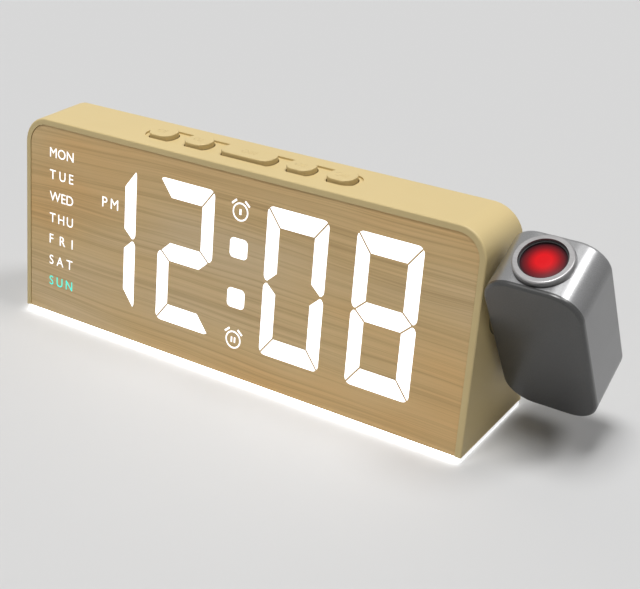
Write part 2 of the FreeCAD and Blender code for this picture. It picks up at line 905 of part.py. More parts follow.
def make_coin_cell():
    near = cell_base_depth() - coin_cell_thickness
    cell = upright_rod(coin_cell_radius, 0, 0, -cell_base_depth(), -near)
    cell = cell.makeFillet(coin_cell_round, [edge for edge in cell.Edges if edge.BoundBox.ZMin > -near - near_enough])
    return placed(shifted(cell, x=-door_x, y=door_height), BACK)


def make_cell_contact():
    """A sprung strip over the cell, with a leg down to the board beyond the holder."""
    near = cell_base_depth() - coin_cell_thickness
    thick = contact_thickness
    half = contact_width / 2
    reach = holder_width / 2 + thick
    strip = box(-half, half, -reach, contact_reach, -near, -near + thick)
    leg = box(-half, half, -reach, -reach + thick, -main_board_front, -near + thick)
    contact = strip.fuse(leg).removeSplitter()
    return placed(shifted(contact, x=-door_x, y=door_height), BACK)


def make_main_board():
    holes = [(-x, height) for x, height in main_screw_places()]
    return board_with_holes(-main_board_right, -main_board_left, main_board_low, main_board_high,
                            main_board_front, main_board_back, holes, BACK)


def make_usb_inlet():
    """The shell of the power socket, open towards the back, with its tongue."""
    front = panel_recess + inlet_recess
    shell = rounded_bar(inlet_width, inlet_thickness, inlet_thickness / 2, -main_board_front, -front)
    hollow = rounded_bar(inlet_width - 2 * inlet_shell, inlet_thickness - 2 * inlet_shell,
                         inlet_thickness / 2 - inlet_shell, -main_board_front + inlet_floor, 0)
    tongue = box(-tongue_width / 2, tongue_width / 2, -tongue_thickness / 2, tongue_thickness / 2,
                 -main_board_front, -front - tongue_recess)
    inlet = shell.cut(hollow).fuse(tongue).removeSplitter()
    return placed(shifted(inlet, x=-inlet_x, y=inlet_height), BACK)


def make_buzzer():
    front = main_board_front - buzzer_length
    can = face_rod(buzzer_radius, -buzzer_x, buzzer_height, front, main_board_front)
    hole = face_rod(buzzer_hole_radius, -buzzer_x, buzzer_height, 0, front + buzzer_hole_depth)
    return placed(can.cut(hole), BACK)


def lower_section(gap, bottom, top):
    """The inside of the housing from face panel to rear cover, as a block between two heights."""
    depth = panel_back + gap
    half = inner_x - gap
    points = [(face_y(bottom, depth), bottom), (-face_y(bottom, depth), bottom),
              (-face_y(top, depth), top), (face_y(top, depth), top)]
    face = Part.Face(Part.makePolygon([Vector(-half, y, z) for y, z in points + points[:1]]))
    return face.extrude(Vector(2 * half, 0, 0))


def lamp_board_top():
    return base_z + lamp_gap + lamp_height + lamp_board_thickness


def make_base_tray():
    tray = lower_section(tray_gap, base_z, tray_top)
    half_x = lamp_board_length / 2 + board_play
    half_y = lamp_board_width / 2 + board_play
    tray = tray.cut(box(-half_x, half_x, -half_y, half_y, base_z - past, lamp_board_top()))
    for x, y in base_screw_places():
        tray = tray.cut(upright_rod(screw_radius, x, y, base_z - past, tray_top + past))
    return tray


def make_lamp_board():
    half_x = lamp_board_length / 2
    half_y = lamp_board_width / 2
    top = lamp_board_top()
    return box(-half_x, half_x, -half_y, half_y, top - lamp_board_thickness, top)


def make_lamp_leds():
    pitch = lamp_board_length / lamp_count
    half = lamp_width / 2
    top = lamp_board_top() - lamp_board_thickness
    lamps = []
    for index in range(lamp_count):
        x = (index - (lamp_count - 1) / 2) * pitch
        lamps.append(box(x - half, x + half, -half, half, top - lamp_height, top))
    return group(lamps)


def foot_places():
    """A pad near each corner, and one in the middle that takes the push on the long button."""
    corners = [(sx * (side_x - foot_from_side), sy * (base_depth / 2 - foot_from_edge))
               for sx in (-1, 1) for sy in (-1, 1)]
    return corners + [(0, 0)]


def make_night_light_strip():
    strip = rounded_bar(housing_width - 2 * strip_inset, base_depth - 2 * strip_inset, strip_round,
                        foot_proud, base_z)
    head_top = foot_proud + screw_head_height + base_screw_sink
    for x, y in foot_places():
        strip = strip.cut(upright_rod(foot_radius, x, y, foot_proud - past, foot_thickness))
    for x, y in base_screw_places():
        strip = strip.cut(upright_rod(screw_head_radius + screw_head_gap, x, y, 0, head_top))
        strip = strip.cut(upright_rod(screw_radius, x, y, 0, base_z + past))
    return strip


def make_rubber_feet():
    feet = []
    for x, y in foot_places():
        foot = upright_rod(foot_radius, x, y, 0, foot_thickness)
        feet.append(foot.makeChamfer(foot_proud / 2, [edge for edge in foot.Edges if edge.BoundBox.ZMax < near_enough]))
    return group(feet)


def make_base_screws():
    under_head = foot_proud + screw_head_height + base_screw_sink
    length = tray_top - under_head + screw_bite - screw_end_gap
    turn = Rotation(Vector(1, 0, 0), 180)
    return group([placed(screw(length), Placement(Vector(x, y, under_head), turn))
                  for x, y in base_screw_places()])


def beside(points, offset):
    """The line of (y, z) points moved sideways by offset."""
    moved = []
    for index, (y, z) in enumerate(points):
        before = points[max(index - 1, 0)]
        after = points[min(index + 1, len(points) - 1)]
        ahead = Vector(0, after[0] - before[0], after[1] - before[1]).normalize()
        moved.append(Vector(0, y - ahead.z * offset, z + ahead.y * offset))
    return moved


def ribbon(points):
    """A flat cable that bends along a line of (y, z) points."""
    outline = beside(points, ribbon_thickness / 2) + beside(points, -ribbon_thickness / 2)[::-1]
    face = Part.Face(Part.makePolygon(outline + outline[:1]))
    return shifted(face.extrude(Vector(ribbon_width, 0, 0)), x=-ribbon_width / 2)


def make_board_sockets():
    """The ribbon's two sockets, on the display board and the main board, and the socket of the head's cable."""
    half = socket_width / 2
    low = ribbon_height - socket_length / 2
    high = ribbon_height + socket_length / 2
    start_x, start_y = cable_socket_place()
    board_y = -face_y(pivot_height, main_board_back)
    rise = lead_socket_height / 2
    lead = box(start_x - lead_socket_length, start_x, start_y - lead_rise, board_y + lead_rise,
               pivot_height - rise, pivot_height + rise)
    return group([
        placed(face_box(-half, half, low, high, display_board_back, display_board_back + socket_rise), FRONT),
        placed(face_box(-half, half, low, high, main_board_back, main_board_back + socket_rise), BACK),
        lead.cut(placed(face_slab(-base_depth, main_board_back), BACK)),
    ])


def make_display_ribbon():
    front = FRONT.multVec(Vector(0, ribbon_height, -display_board_back - socket_rise))
    back = BACK.multVec(Vector(0, ribbon_height, -main_board_back - socket_rise))
    low = front.z - ribbon_sag
    bend = (2 * front.z + 3 * low) / 5
    middle = (front.y + back.y) / 2
    out_y = math.cos(lean)
    out_z = front.z - math.sin(lean)
    return ribbon([
        (front.y, front.z), (front.y + out_y, out_z), ((front.y + middle) / 2, bend), (middle, low),
        ((back.y + middle) / 2, bend), (back.y - out_y, out_z), (back.y, back.z),
    ])


def cable_socket_place():
    """Where the head's cable leaves its socket on the main board, as (x, y)."""
    board_y = -face_y(pivot_height, main_board_back)
    return main_board_right - lead_socket_from_edge, board_y - lead_rise


def make_head_cable():
    """A round lead from the main board to the hollow shaft and along it into the head."""
    start_x, start_y = cable_socket_place()
    turn_x = start_x + cable_straight
    end_x = head_left + head_wall + shaft_flange_thickness + cable_end_gap
    points = [Vector(start_x, start_y, pivot_height), Vector(turn_x, start_y, pivot_height),
              Vector(turn_x + cable_slant, 0, pivot_height), Vector(end_x, 0, pivot_height)]
    edges = []
    start = points[0]
    for before, corner, after in zip(points, points[1:], points[2:]):
        back = (before - corner).normalize()
        ahead = (after - corner).normalize()
        half_angle = back.getAngle(ahead) / 2
        shorter = min((before - corner).Length, (after - corner).Length)
        setback = cable_bend_share * shorter
        radius = setback * math.tan(half_angle)
        middle = corner + (back + ahead).normalize() * (radius / math.sin(half_angle) - radius)
        edges.append(Part.makeLine(start, corner + back * setback))
        edges.append(Part.Arc(corner + back * setback, middle, corner + ahead * setback).toShape())
        start = corner + ahead * setback
    edges.append(Part.makeLine(start, points[-1]))
    path = Part.Wire(edges)
    section = Part.Wire(Part.makeCircle(cable_radius, points[0], Vector(1, 0, 0)))
    return path.makePipeShell([section], True, False)


def make_pivot_shaft():
    """A hollow shaft through the housing's wall, with a flange inside the head and a groove for its clip."""
    flange_start = head_left + head_wall
    shaft = pivot_rod(shaft_radius, shaft_end, flange_start)
    shaft = shaft.fuse(pivot_rod(shaft_flange_radius, flange_start, flange_start + shaft_flange_thickness))
    shaft = shaft.cut(pivot_tube(shaft_radius + past, shaft_radius - shaft_groove_depth,
                                 clip_start, clip_start + clip_thickness))
    return shaft.cut(pivot_rod(shaft_bore, shaft_end - past, side_x + head_width)).removeSplitter()


def make_pivot_bush():
    bush = pivot_rod(bush_radius, inner_x, side_x).fuse(pivot_rod(bush_flange_radius, bush_start, inner_x))
    return bush.cut(pivot_rod(shaft_radius + running_gap, bush_start - past, side_x + past)).removeSplitter()


def make_pivot_pad():
    return pivot_tube(pad_radius, shaft_radius + pad_play, side_x, head_left)


def make_pivot_spring_washer():
    """A coned washer between the clip and the bush, which keeps the head where it is put."""
    inner = shaft_radius + spring_washer_play
    outer = bush_flange_radius - spring_washer_inset
    start = clip_start + clip_thickness
    thick = spring_washer_thickness
    points = [(start, inner), (start + thick, inner), (bush_start, outer - thick / 2),
              (bush_start, outer), (bush_start - thick / 2, outer), (start, inner + thick / 2)]
    outline = [Vector(x, 0, pivot_height + r) for x, r in points]
    face = Part.Face(Part.makePolygon(outline + outline[:1]))
    return face.revolve(Vector(0, 0, pivot_height), Vector(1, 0, 0), 360)


def make_pivot_clip():
    end = clip_start + clip_thickness
    ring = pivot_tube(clip_radius, shaft_radius - shaft_groove_depth, clip_start, end)
    half = clip_mouth_width / 2
    mouth = box(clip_start - past, end + past, -half, half,
                pivot_height - clip_radius - past, pivot_height - clip_mouth_from_axis)
    return placed_in_head_turn(ring.cut(mouth))


def placed_in_head_turn(shape):
    """Turns a shape about the pivot's axis by the tilt that the head has at rest."""
    result = shape.copy()
    result.rotate(Vector(0, 0, pivot_height), Vector(1, 0, 0), head_tilt)
    return result


def head_profile(inset, y0, y1):
    """The head's outline seen from the front, drawn in by inset, as a block from y0 back to y1."""
    half_x = head_width / 2 - inset
    half_z = head_height / 2 - inset
    points = [(-half_x, -half_z), (half_x, -half_z), (half_x, half_z), (-half_x, half_z)]
    radius = min(head_round - inset, half_x - near_enough)
    block = rounded_face(points, [radius] * 4).extrude(Vector(0, 0, y1 - y0))
    return shifted(placed(block, UPRIGHT), y=y1)


def edges_at_y(shape, y):
    return [edge for edge in shape.Edges
            if abs(edge.BoundBox.YMin - y) < near_enough and abs(edge.BoundBox.YMax - y) < near_enough]


def ear_places():
    return [(sx * ear_screw_x, sz * ear_screw_z) for sx in (-1, 1) for sz in (-1, 1)]


def make_head_shell():
    front = -head_depth / 2 + front_plate_thickness
    back = head_depth / 2
    top = head_height / 2
    shell = head_profile(0, front, back)
    shell = shell.makeFillet(head_back_round, edges_at_y(shell, back))
    shell = shell.cut(head_profile(head_wall, front - past, back - head_wall))
    for x, z in ear_places():
        boss = Part.makeCylinder(board_post_radius, back - head_wall / 2 - ear_y - ear_thickness,
                                 Vector(x, ear_y + ear_thickness, z), Vector(0, 1, 0))
        hole = Part.makeCylinder(screw_radius, cover_post_bite + screw_end_gap,
                                 Vector(x, ear_y + ear_thickness, z), Vector(0, 1, 0))
        shell = shell.fuse(boss).cut(hole)
    shell = shell.cut(upright_rod(ring_hub_radius + running_gap, 0, 0, top - 2 * head_wall, top + past))
    shell = shell.cut(upright_rod(ring_radius + ring_seat_gap, 0, 0, top - ring_seat_depth, top + past))
    pivot_hole = Part.makeCylinder(shaft_radius, head_wall + 2 * past,
                                   Vector(-head_width / 2 - past, 0, 0), Vector(1, 0, 0))
    return placed(shell.cut(pivot_hole).removeSplitter(), HEAD)


def make_head_front_plate():
    front = -head_depth / 2
    plate = head_profile(0, front, front + front_plate_thickness)
    plate = plate.makeFillet(front_plate_round, edges_at_y(plate, front))
    lip_start = front + front_plate_thickness
    lip_inset = head_wall + front_plate_lip_gap
    lip_end = lip_start + front_plate_lip
    lip = head_profile(lip_inset, lip_start, lip_end)
    lip = lip.cut(head_profile(lip_inset + front_plate_lip_thickness, lip_start - past, lip_end + past))
    hub = ring_hub_radius + ring_snap + front_plate_clear
    lip = lip.cut(box(-hub, hub, lip_start, 0, 0, head_height))
    flange = shaft_flange_radius + front_plate_clear
    lip = lip.cut(box(-head_width, 0, lip_start, 0, -flange, flange))
    return placed(plate.fuse(lip).removeSplitter(), HEAD)


def ring_floor():
    """Height over the pivot of the seat that the focus ring turns on."""
    return head_height / 2 - ring_seat_depth


def ring_top():
    return head_height / 2 + ring_proud


def head_ceiling(x):
    """Height over the pivot of the head's inner surface, which curves down towards its sides."""
    radius = head_round - head_wall
    start = head_width / 2 - head_round
    drop = radius - math.sqrt(max(radius ** 2 - max(x - start, 0) ** 2, 0))
    return head_height / 2 - head_wall - drop


def make_focus_ring():
    collar = upright_rod(ring_radius, 0, 0, ring_floor(), ring_top())
    rim = [edge for edge in collar.Edges if edge.BoundBox.ZMin > ring_top() - near_enough]
    collar = collar.makeFillet(ring_round, rim)
    hub_bottom = ring_floor() - ring_hub_length
    snap_top = head_ceiling(ring_hub_radius + ring_snap) - ring_snap_gap
    snap_bottom = snap_top - ring_snap_thickness
    ring = collar.fuse(upright_rod(ring_hub_radius, 0, 0, hub_bottom, ring_floor()))
    ring = ring.fuse(upright_rod(ring_hub_radius + ring_snap, 0, 0, snap_bottom, snap_top))
    ring = ring.cut(upright_rod(barrel_radius + running_gap, 0, 0, hub_bottom - past, ring_top() + past))
    return placed(ring.removeSplitter(), HEAD)


def barrel_top():
    return ring_top() - barrel_recess


def barrel_bottom():
    return barrel_top() - barrel_length


def lens(radius, edge, rise, z):
    """A round lens: flat below at height z, with a straight rim, and domed above by the given rise."""
    rim = z + edge
    sphere = (radius ** 2 + rise ** 2) / (2 * rise)
    centre = rim + rise - sphere
    half_way = Vector(radius / 2, 0, centre + math.sqrt(sphere ** 2 - (radius / 2) ** 2))
    edges = [
        Part.makeLine(Vector(0, 0, z), Vector(radius, 0, z)),
        Part.makeLine(Vector(radius, 0, z), Vector(radius, 0, rim)),
        Part.Arc(Vector(radius, 0, rim), half_way, Vector(0, 0, rim + rise)).toShape(),
        Part.makeLine(Vector(0, 0, rim + rise), Vector(0, 0, z)),
    ]
    return Part.Face(Part.Wire(edges)).revolve(Vector(), Vector(0, 0, 1), 360)


def lens_facing_down(radius, edge, rise, z):
    """The same lens turned over: its flat face lies on top, at height z."""
    turned = lens(radius, edge, rise, 0)
    turned.rotate(Vector(), Vector(1, 0, 0), 180)
    return shifted(turned, z=z)


def objective_seat():
    """Height of the step that the front lens rests on, inside the barrel."""
    return barrel_top() - lens_recess - objective_rise - lens_edge


def inner_lens_seat():
    """Height of the step that the rear lens is pressed up against."""
    return barrel_bottom() + inner_lens_depth


def make_lens_barrel():
    barrel = upright_rod(barrel_radius, 0, 0, barrel_bottom(), barrel_top())
    narrow = barrel_bore - barrel_step
    barrel = barrel.cut(upright_rod(narrow, 0, 0, barrel_bottom() - past, barrel_top() + past))
    barrel = barrel.cut(upright_rod(lens_radius, 0, 0, objective_seat(), barrel_top() + past))
    barrel = barrel.cut(upright_rod(barrel_bore, 0, 0, barrel_bottom() - past, inner_lens_seat()))
    return placed(barrel, HEAD)


def make_objective_lens():
    return placed(lens(lens_radius, lens_edge, objective_rise, objective_seat()), HEAD)


def make_inner_lens():
    return placed(lens_facing_down(barrel_bore, lens_edge, inner_lens_rise, inner_lens_seat()), HEAD)


def guide_top():
    return ring_floor() - ring_hub_length - guide_gap


def slide_bottom():
    return -slide_thickness / 2 - slide_drop


def condenser_top():
    """Height of the step that the condenser lens is pressed up against."""
    return slide_bottom() - slide_floor


def make_optics_frame():
    """The cradle of the light path: lamp, condenser and slide below, a guide for the lens barrel above."""
    half = optics_width / 2
    neck = barrel_bottom() - guide_below_barrel
    frame = box(-half, half, -half, half, optics_low, neck)
    bore = barrel_radius + running_gap
    outer = bore + guide_wall
    frame = frame.fuse(upright_rod(outer, 0, 0, neck, guide_top()))
    for x, z in ear_places():
        inner_end = math.copysign(half - ear_root, x)
        outer_end = math.copysign(ear_screw_x + board_post_radius, x)
        x0, x1 = sorted((inner_end, outer_end))
        z0 = z - ear_height / 2
        if z < 0:
            z0 = max(z0, optics_low)
        ear = box(x0, x1, ear_y, ear_y + ear_thickness, z0, z + ear_height / 2)
        if z > 0:
            ear = ear.cut(upright_rod(bore, 0, 0, z0 - past, z + ear_height))
        frame = frame.fuse(ear)
        frame = frame.cut(Part.makeCylinder(screw_radius, 4 * ear_thickness, Vector(x, ear_y - ear_thickness, z),
                                            Vector(0, 1, 0)))
    frame = frame.cut(upright_rod(bore, 0, 0, neck + guide_floor, guide_top() + past))
    frame = frame.cut(upright_rod(condenser_radius - condenser_seat, 0, 0, optics_low - past, guide_top()))
    frame = frame.cut(upright_rod(condenser_radius, 0, 0, optics_low - past, condenser_top()))
    slot_half = slide_width / 2 + slide_slot_gap
    frame = frame.cut(box(-slot_half, slot_half, -slot_half, half + past, slide_bottom(),
                          slide_bottom() + slide_thickness + slide_slot_gap))
    return placed(frame.removeSplitter(), HEAD)


def make_optics_screws():
    turn = Rotation(Vector(1, 0, 0), 90)
    return placed(group([
        placed(screw(ear_thickness + cover_post_bite), Placement(Vector(x, ear_y, z), turn)) for x, z in ear_places()
    ]), HEAD)


def make_lcd_slide():
    half = slide_width / 2
    return placed(box(-half, half, -half, half + slide_handle,
                      slide_bottom(), slide_bottom() + slide_thickness), HEAD)


def make_condenser_lens():
    return placed(lens_facing_down(condenser_radius, condenser_edge, condenser_rise, condenser_top()), HEAD)


def make_projector_led():
    half = led_base_width / 2
    top = optics_low + led_base_thickness
    base = box(-half, half, -half, half, optics_low, top)
    dome = Part.makeSphere(led_dome_radius, Vector(0, 0, top), Vector(0, 0, 1), 0, 90, 360)
    return placed(base.fuse(dome).removeSplitter(), HEAD)


def make_led_board():
    half = optics_width / 2
    return placed(box(-half, half, -half, half, optics_low - small_board_thickness, optics_low), HEAD)


def make_head_board():
    """A small board on the left side of the light path, between the cable's plug and the lamp."""
    start = -optics_width / 2 - small_board_thickness
    edge = ear_y - screw_head_height - head_board_gap
    return placed(box(start, -optics_width / 2, -head_board_reach, edge,
                      optics_low - small_board_thickness, head_board_reach), HEAD)


def make_cable_plug():
    start = -optics_width / 2 - small_board_thickness
    half = plug_width / 2
    inner_face = -head_width / 2 + head_wall + shaft_flange_thickness + cable_end_gap
    return placed(box(inner_face, start, -half, half, -half, half), HEAD)


def main():
    nodes = {
        "housing_shell": make_housing_shell(),
        "wood_face_panel": make_wood_face_panel(),
        "lit_segments": make_lit_segments(),
        "diffuser_film": make_diffuser_film(),
        "light_box": make_light_box(),
        "display_leds": make_display_leds(),
        "display_board": make_display_board(),
        "tact_switches": make_tact_switches(),
        "button_board": make_button_board(),
        "board_screws": make_board_screws(),
        "chips": make_chips(),
        "rear_cover": make_rear_cover(),
        "rear_screws": make_rear_screws(),
        "battery_door": make_battery_door(),
        "coin_cell_holder": make_coin_cell_holder(),
        "coin_cell": make_coin_cell(),
        "cell_contact": make_cell_contact(),
        "main_board": make_main_board(),
        "usb_inlet": make_usb_inlet(),
        "buzzer": make_buzzer(),
        "base_tray": make_base_tray(),
        "lamp_board": make_lamp_board(),
        "lamp_leds": make_lamp_leds(),
        "night_light_strip": make_night_light_strip(),
        "rubber_feet": make_rubber_feet(),
        "base_screws": make_base_screws(),
        "board_sockets": make_board_sockets(),
        "display_ribbon": make_display_ribbon(),
        "head_cable": make_head_cable(),
        "pivot_bush": make_pivot_bush(),
        "pivot_shaft": make_pivot_shaft(),
        "pivot_pad": make_pivot_pad(),
        "pivot_spring_washer": make_pivot_spring_washer(),
        "pivot_clip": make_pivot_clip(),
        "head_shell": make_head_shell(),
        "head_front_plate": make_head_front_plate(),
        "focus_ring": make_focus_ring(),
        "lens_barrel": make_lens_barrel(),
        "objective_lens": make_objective_lens(),
        "inner_lens": make_inner_lens(),
        "optics_frame": make_optics_frame(),
        "optics_screws": make_optics_screws(),
        "lcd_slide": make_lcd_slide(),
        "condenser_lens": make_condenser_lens(),
        "projector_led": make_projector_led(),
        "led_board": make_led_board(),
        "head_board": make_head_board(),
        "cable_plug": make_cable_plug(),
    }
    names = ("button_1", "button_2", "snooze_button", "button_4", "button_5")
    for name, (x, width) in zip(names, button_places()):
        nodes[name + "_cap"] = button_cap(x, width)
        nodes[name + "_plunger"] = switch_plunger(x)
    os.makedirs("parts", exist_ok=True)
    for name, shape in nodes.items():
        shape.exportStep(f"parts/{name}.step")
        closed = all(solid.isValid() and solid.Volume > 0 for solid in shape.Solids)
        if not closed or not shape.Solids:
            print("check", name, len(shape.Solids), "solids")
    print(len(nodes), "nodes")


if __name__ == "__main__":
    main()
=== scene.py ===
"""Looks of a projection alarm clock, laid over the packed frame.

Run as a script it dresses the frame: materials for every solid, the lit words and signs of the
face, the raised marks of the buttons, and a plain stage. Lengths are in metres.
"""

import json
import math

import bpy
from mathutils import Matrix, Vector


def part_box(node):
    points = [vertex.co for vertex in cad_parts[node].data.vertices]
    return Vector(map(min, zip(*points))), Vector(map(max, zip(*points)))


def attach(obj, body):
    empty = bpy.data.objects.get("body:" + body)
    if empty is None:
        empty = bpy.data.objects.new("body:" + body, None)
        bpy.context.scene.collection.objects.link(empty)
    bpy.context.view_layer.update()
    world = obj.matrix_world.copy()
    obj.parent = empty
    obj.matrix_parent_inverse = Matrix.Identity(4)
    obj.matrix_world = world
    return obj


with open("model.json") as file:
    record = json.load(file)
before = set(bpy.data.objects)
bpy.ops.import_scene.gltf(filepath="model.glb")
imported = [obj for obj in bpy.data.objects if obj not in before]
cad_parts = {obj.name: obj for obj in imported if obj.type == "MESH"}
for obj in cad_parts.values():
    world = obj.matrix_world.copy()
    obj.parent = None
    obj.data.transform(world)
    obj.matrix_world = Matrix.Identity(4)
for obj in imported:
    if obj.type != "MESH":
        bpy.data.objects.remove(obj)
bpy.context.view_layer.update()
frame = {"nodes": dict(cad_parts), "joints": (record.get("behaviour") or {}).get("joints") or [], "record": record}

bl_info = {
    "name": "Projection Alarm Clock",
    "version": (1, 0, 0),
    "blender": (4, 5, 0),
    "location": "3D View > Sidebar > Clock",
    "description": "Dresses the frame of a projection alarm clock and sets its stage",
    "category": "Object",
}


def tone(red, green, blue):
    """A colour given as it looks on a screen, 0 to 255, as the linear numbers that shaders take."""
    def linear(part):
        part = part / 255
        return part / 12.92 if part <= 0.04045 else ((part + 0.055) / 1.055) ** 2.4
    return linear(red), linear(green), linear(blue)


def mm(length):
    """A length in millimetres as metres."""
    return length / 1000


HOUSING_LOW, HOUSING_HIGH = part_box("housing_shell")


def colour_setting(name, description, default):
    return bpy.props.FloatVectorProperty(
        name=name, description=description, default=default, size=3, min=0, max=1, subtype="COLOR")


def length_setting(name, description, default):
    return bpy.props.FloatProperty(
        name=name, description=description, default=default, min=0, precision=5,
        subtype="DISTANCE", unit="LENGTH")


def share_setting(name, description, default):
    return bpy.props.FloatProperty(
        name=name, description=description, default=default, min=0, max=1, subtype="FACTOR")


class ClockHousingSettings(bpy.types.PropertyGroup):
    """The beige plastic and the raised marks on the buttons"""
    plastic: colour_setting("Plastic", "Colour of the housing and buttons", tone(225, 202, 146))
    plastic_roughness: share_setting("Roughness", "How matt the housing is", 0.5)
    # Painted shade: faces of the housing that don't look up are darkened to this share of the colour.
    side_shade: share_setting("Side shade", "Brightness of the faces that don't look up", 0.8)
    top_depth: length_setting("Top depth", "Depth of the housing's top edge", mm(20))
    mark_size: length_setting("Mark size", "Width of the marks on the buttons", mm(2.2))
    mark_rise: length_setting("Mark rise", "How far the marks stand up", mm(0.04))
    mark_stroke: length_setting("Mark stroke", "Width of a mark's lines", mm(0.3))


class ClockFaceSettings(bpy.types.PropertyGroup):
    """The wood film and what shines through it"""
    wood: colour_setting("Wood", "Main colour of the wood film", tone(205, 176, 127))
    grain: colour_setting("Grain", "Colour of the dark grain lines", tone(166, 135, 88))
    light_grain: colour_setting("Light grain", "Colour of the pale patches", tone(203, 179, 139))
    warm_grain: colour_setting("Warm grain", "Colour of the warm patches", tone(209, 171, 115))
    # Painted glow: the film gives off its own printed colours at this strength, to brighten the face.
    film_painted_glow: share_setting("Film glow", "How much of the display's light comes through", 0.05)
    lit: colour_setting("Lit", "Colour of the lit digits and words", (1.0, 1.0, 1.0))
    weekday_lit: colour_setting("Weekday", "Colour of the lit weekday", tone(70, 226, 206))
    strip_strength: bpy.props.FloatProperty(
        name="Strip", description="Strength of the night light at the foot", default=2.8, min=0)
    strip_end_strength: bpy.props.FloatProperty(
        name="Strip end", description="Strength of the night light on the side under the head",
        default=0.7, min=0)
    panel_recess: length_setting("Panel recess", "Depth of the film below the face", mm(0.25))
    letter_height: length_setting("Letter height", "Height of the weekday names", mm(3.2))
    letter_rise: length_setting("Letter rise", "How far lit letters stand proud", mm(0.03))
    sign_radius: length_setting("Sign radius", "Radius of the alarm signs", mm(2.65))
    sign_stroke: length_setting("Sign stroke", "Width of the alarm signs' lines", mm(0.5))
    sign_bar: length_setting("Sign bar", "Length of the bars in the alarm signs", mm(1.8))


class ClockHeadSettings(bpy.types.PropertyGroup):
    """The silver projector head"""
    shell: colour_setting("Shell", "Colour of the silver lacquer", (0.34, 0.34, 0.343))
    # Painted shade: faces of the head that don't look up are darkened to this share of the silver.
    side_shade: share_setting("Side shade", "Brightness of the faces that don't look up", 0.62)
    # Painted shade: the front plate is a darker copy of the silver lacquer, standing in for the dark floor it
    # reflects.
    plate: colour_setting("Front plate", "Colour of the dark front plate", (0.075, 0.075, 0.074))
    # Partly the collar's own colour, partly painted shade for the gap between housing and head.
    pad: colour_setting("Pad", "Colour of the collar between housing and head", tone(120, 108, 80))
    ring: colour_setting("Ring", "Colour of the focus ring", (0.38, 0.372, 0.372))
    # Painted glow: the bright middle stands in for the projector's light shining through the lens.
    lens_painted_glow: colour_setting("Lens middle", "Red in the middle of the lens", tone(225, 22, 30))
    lens_edge: colour_setting("Lens edge", "Dark red at the lens edge", tone(64, 26, 32))


class ClockStageSettings(bpy.types.PropertyGroup):
    """The floor, the lamps and the camera"""
    floor: colour_setting("Floor", "Colour of the floor", tone(213, 213, 213))
    floor_size: length_setting("Floor size", "Side of the square floor", 8.0)
    sky_strength: bpy.props.FloatProperty(
        name="Sky", description="Strength of the even light all round", default=0.11, min=0)
    key_strength: bpy.props.FloatProperty(
        name="Key lamp", description="Strength of the broad lamp overhead", default=2.25, min=0)
    edge_strength: bpy.props.FloatProperty(
        name="Edge lamp", description="Strength of the lamp high on the right", default=0.8, min=0)


def face_matrix():
    """The front face's own frame: X from its left edge, Y up the slope, Z out of the face."""
    settings = bpy.context.scene.clock_housing
    height = HOUSING_HIGH.z - HOUSING_LOW.z
    set_back = (HOUSING_HIGH.y - HOUSING_LOW.y - settings.top_depth) / 2
    slope = math.hypot(height, set_back)
    across = Vector((1, 0, 0))
    up = Vector((0, set_back, height)) / slope
    out = across.cross(up)
    turn = Matrix((across, up, out)).transposed().to_4x4()
    return Matrix.Translation(HOUSING_LOW) @ turn


def film_matrix():
    """The face's frame moved in to the surface of the wood film."""
    recess = bpy.context.scene.clock_face.panel_recess
    return face_matrix() @ Matrix.Translation((0, 0, -recess))


def joint_named(name):
    return next(joint for joint in frame["joints"] if joint["name"] == name)


def lens_matrix():
    """The lens's frame: its Z looks out along the axis of the focus ring."""
    joint = joint_named("focus_turn")
    turn = Vector(joint["axis"]).to_track_quat("Z", "Y").to_matrix().to_4x4()
    return Matrix.Translation(joint["pos_m"]) @ turn


def add_object(name, mesh):
    piece = bpy.data.objects.new(name, mesh)
    bpy.context.scene.collection.objects.link(piece)
    return piece


def drop(piece):
    bpy.data.objects.remove(piece, do_unlink=True)


def plain_mesh(piece, name):
    """The piece's shape with its modifiers applied, as a mesh of its own."""
    graph = bpy.context.evaluated_depsgraph_get()
    mesh = bpy.data.meshes.new_from_object(piece.evaluated_get(graph))
    mesh.name = name
    return mesh


class NodeMaker:
    """Adds nodes to a tree and feeds their sockets."""

    def __init__(self, tree):
        self.tree = tree

    def node(self, kind, inputs=None, **settings):
        made = self.tree.nodes.new(kind)
        for name, value in settings.items():
            setattr(made, name, value)
        for name, value in (inputs or {}).items():
            self.feed(made.inputs[name], value)
        return made

    def feed(self, socket, value):
        """A socket takes another node's output, or a plain value."""
        if isinstance(value, bpy.types.NodeSocket):
            self.tree.links.new(value, socket)
        else:
            socket.default_value = value

    def math(self, operation, first, second):
        made = self.node("ShaderNodeMath", operation=operation)
        self.feed(made.inputs[0], first)
        self.feed(made.inputs[1], second)
        return made.outputs[0]


# Upward share of a face's normal at or below which it takes the full painted shade, and at or above which it keeps
# its colour.
STEEP_FACE = 0.3
LEVEL_FACE = 0.8


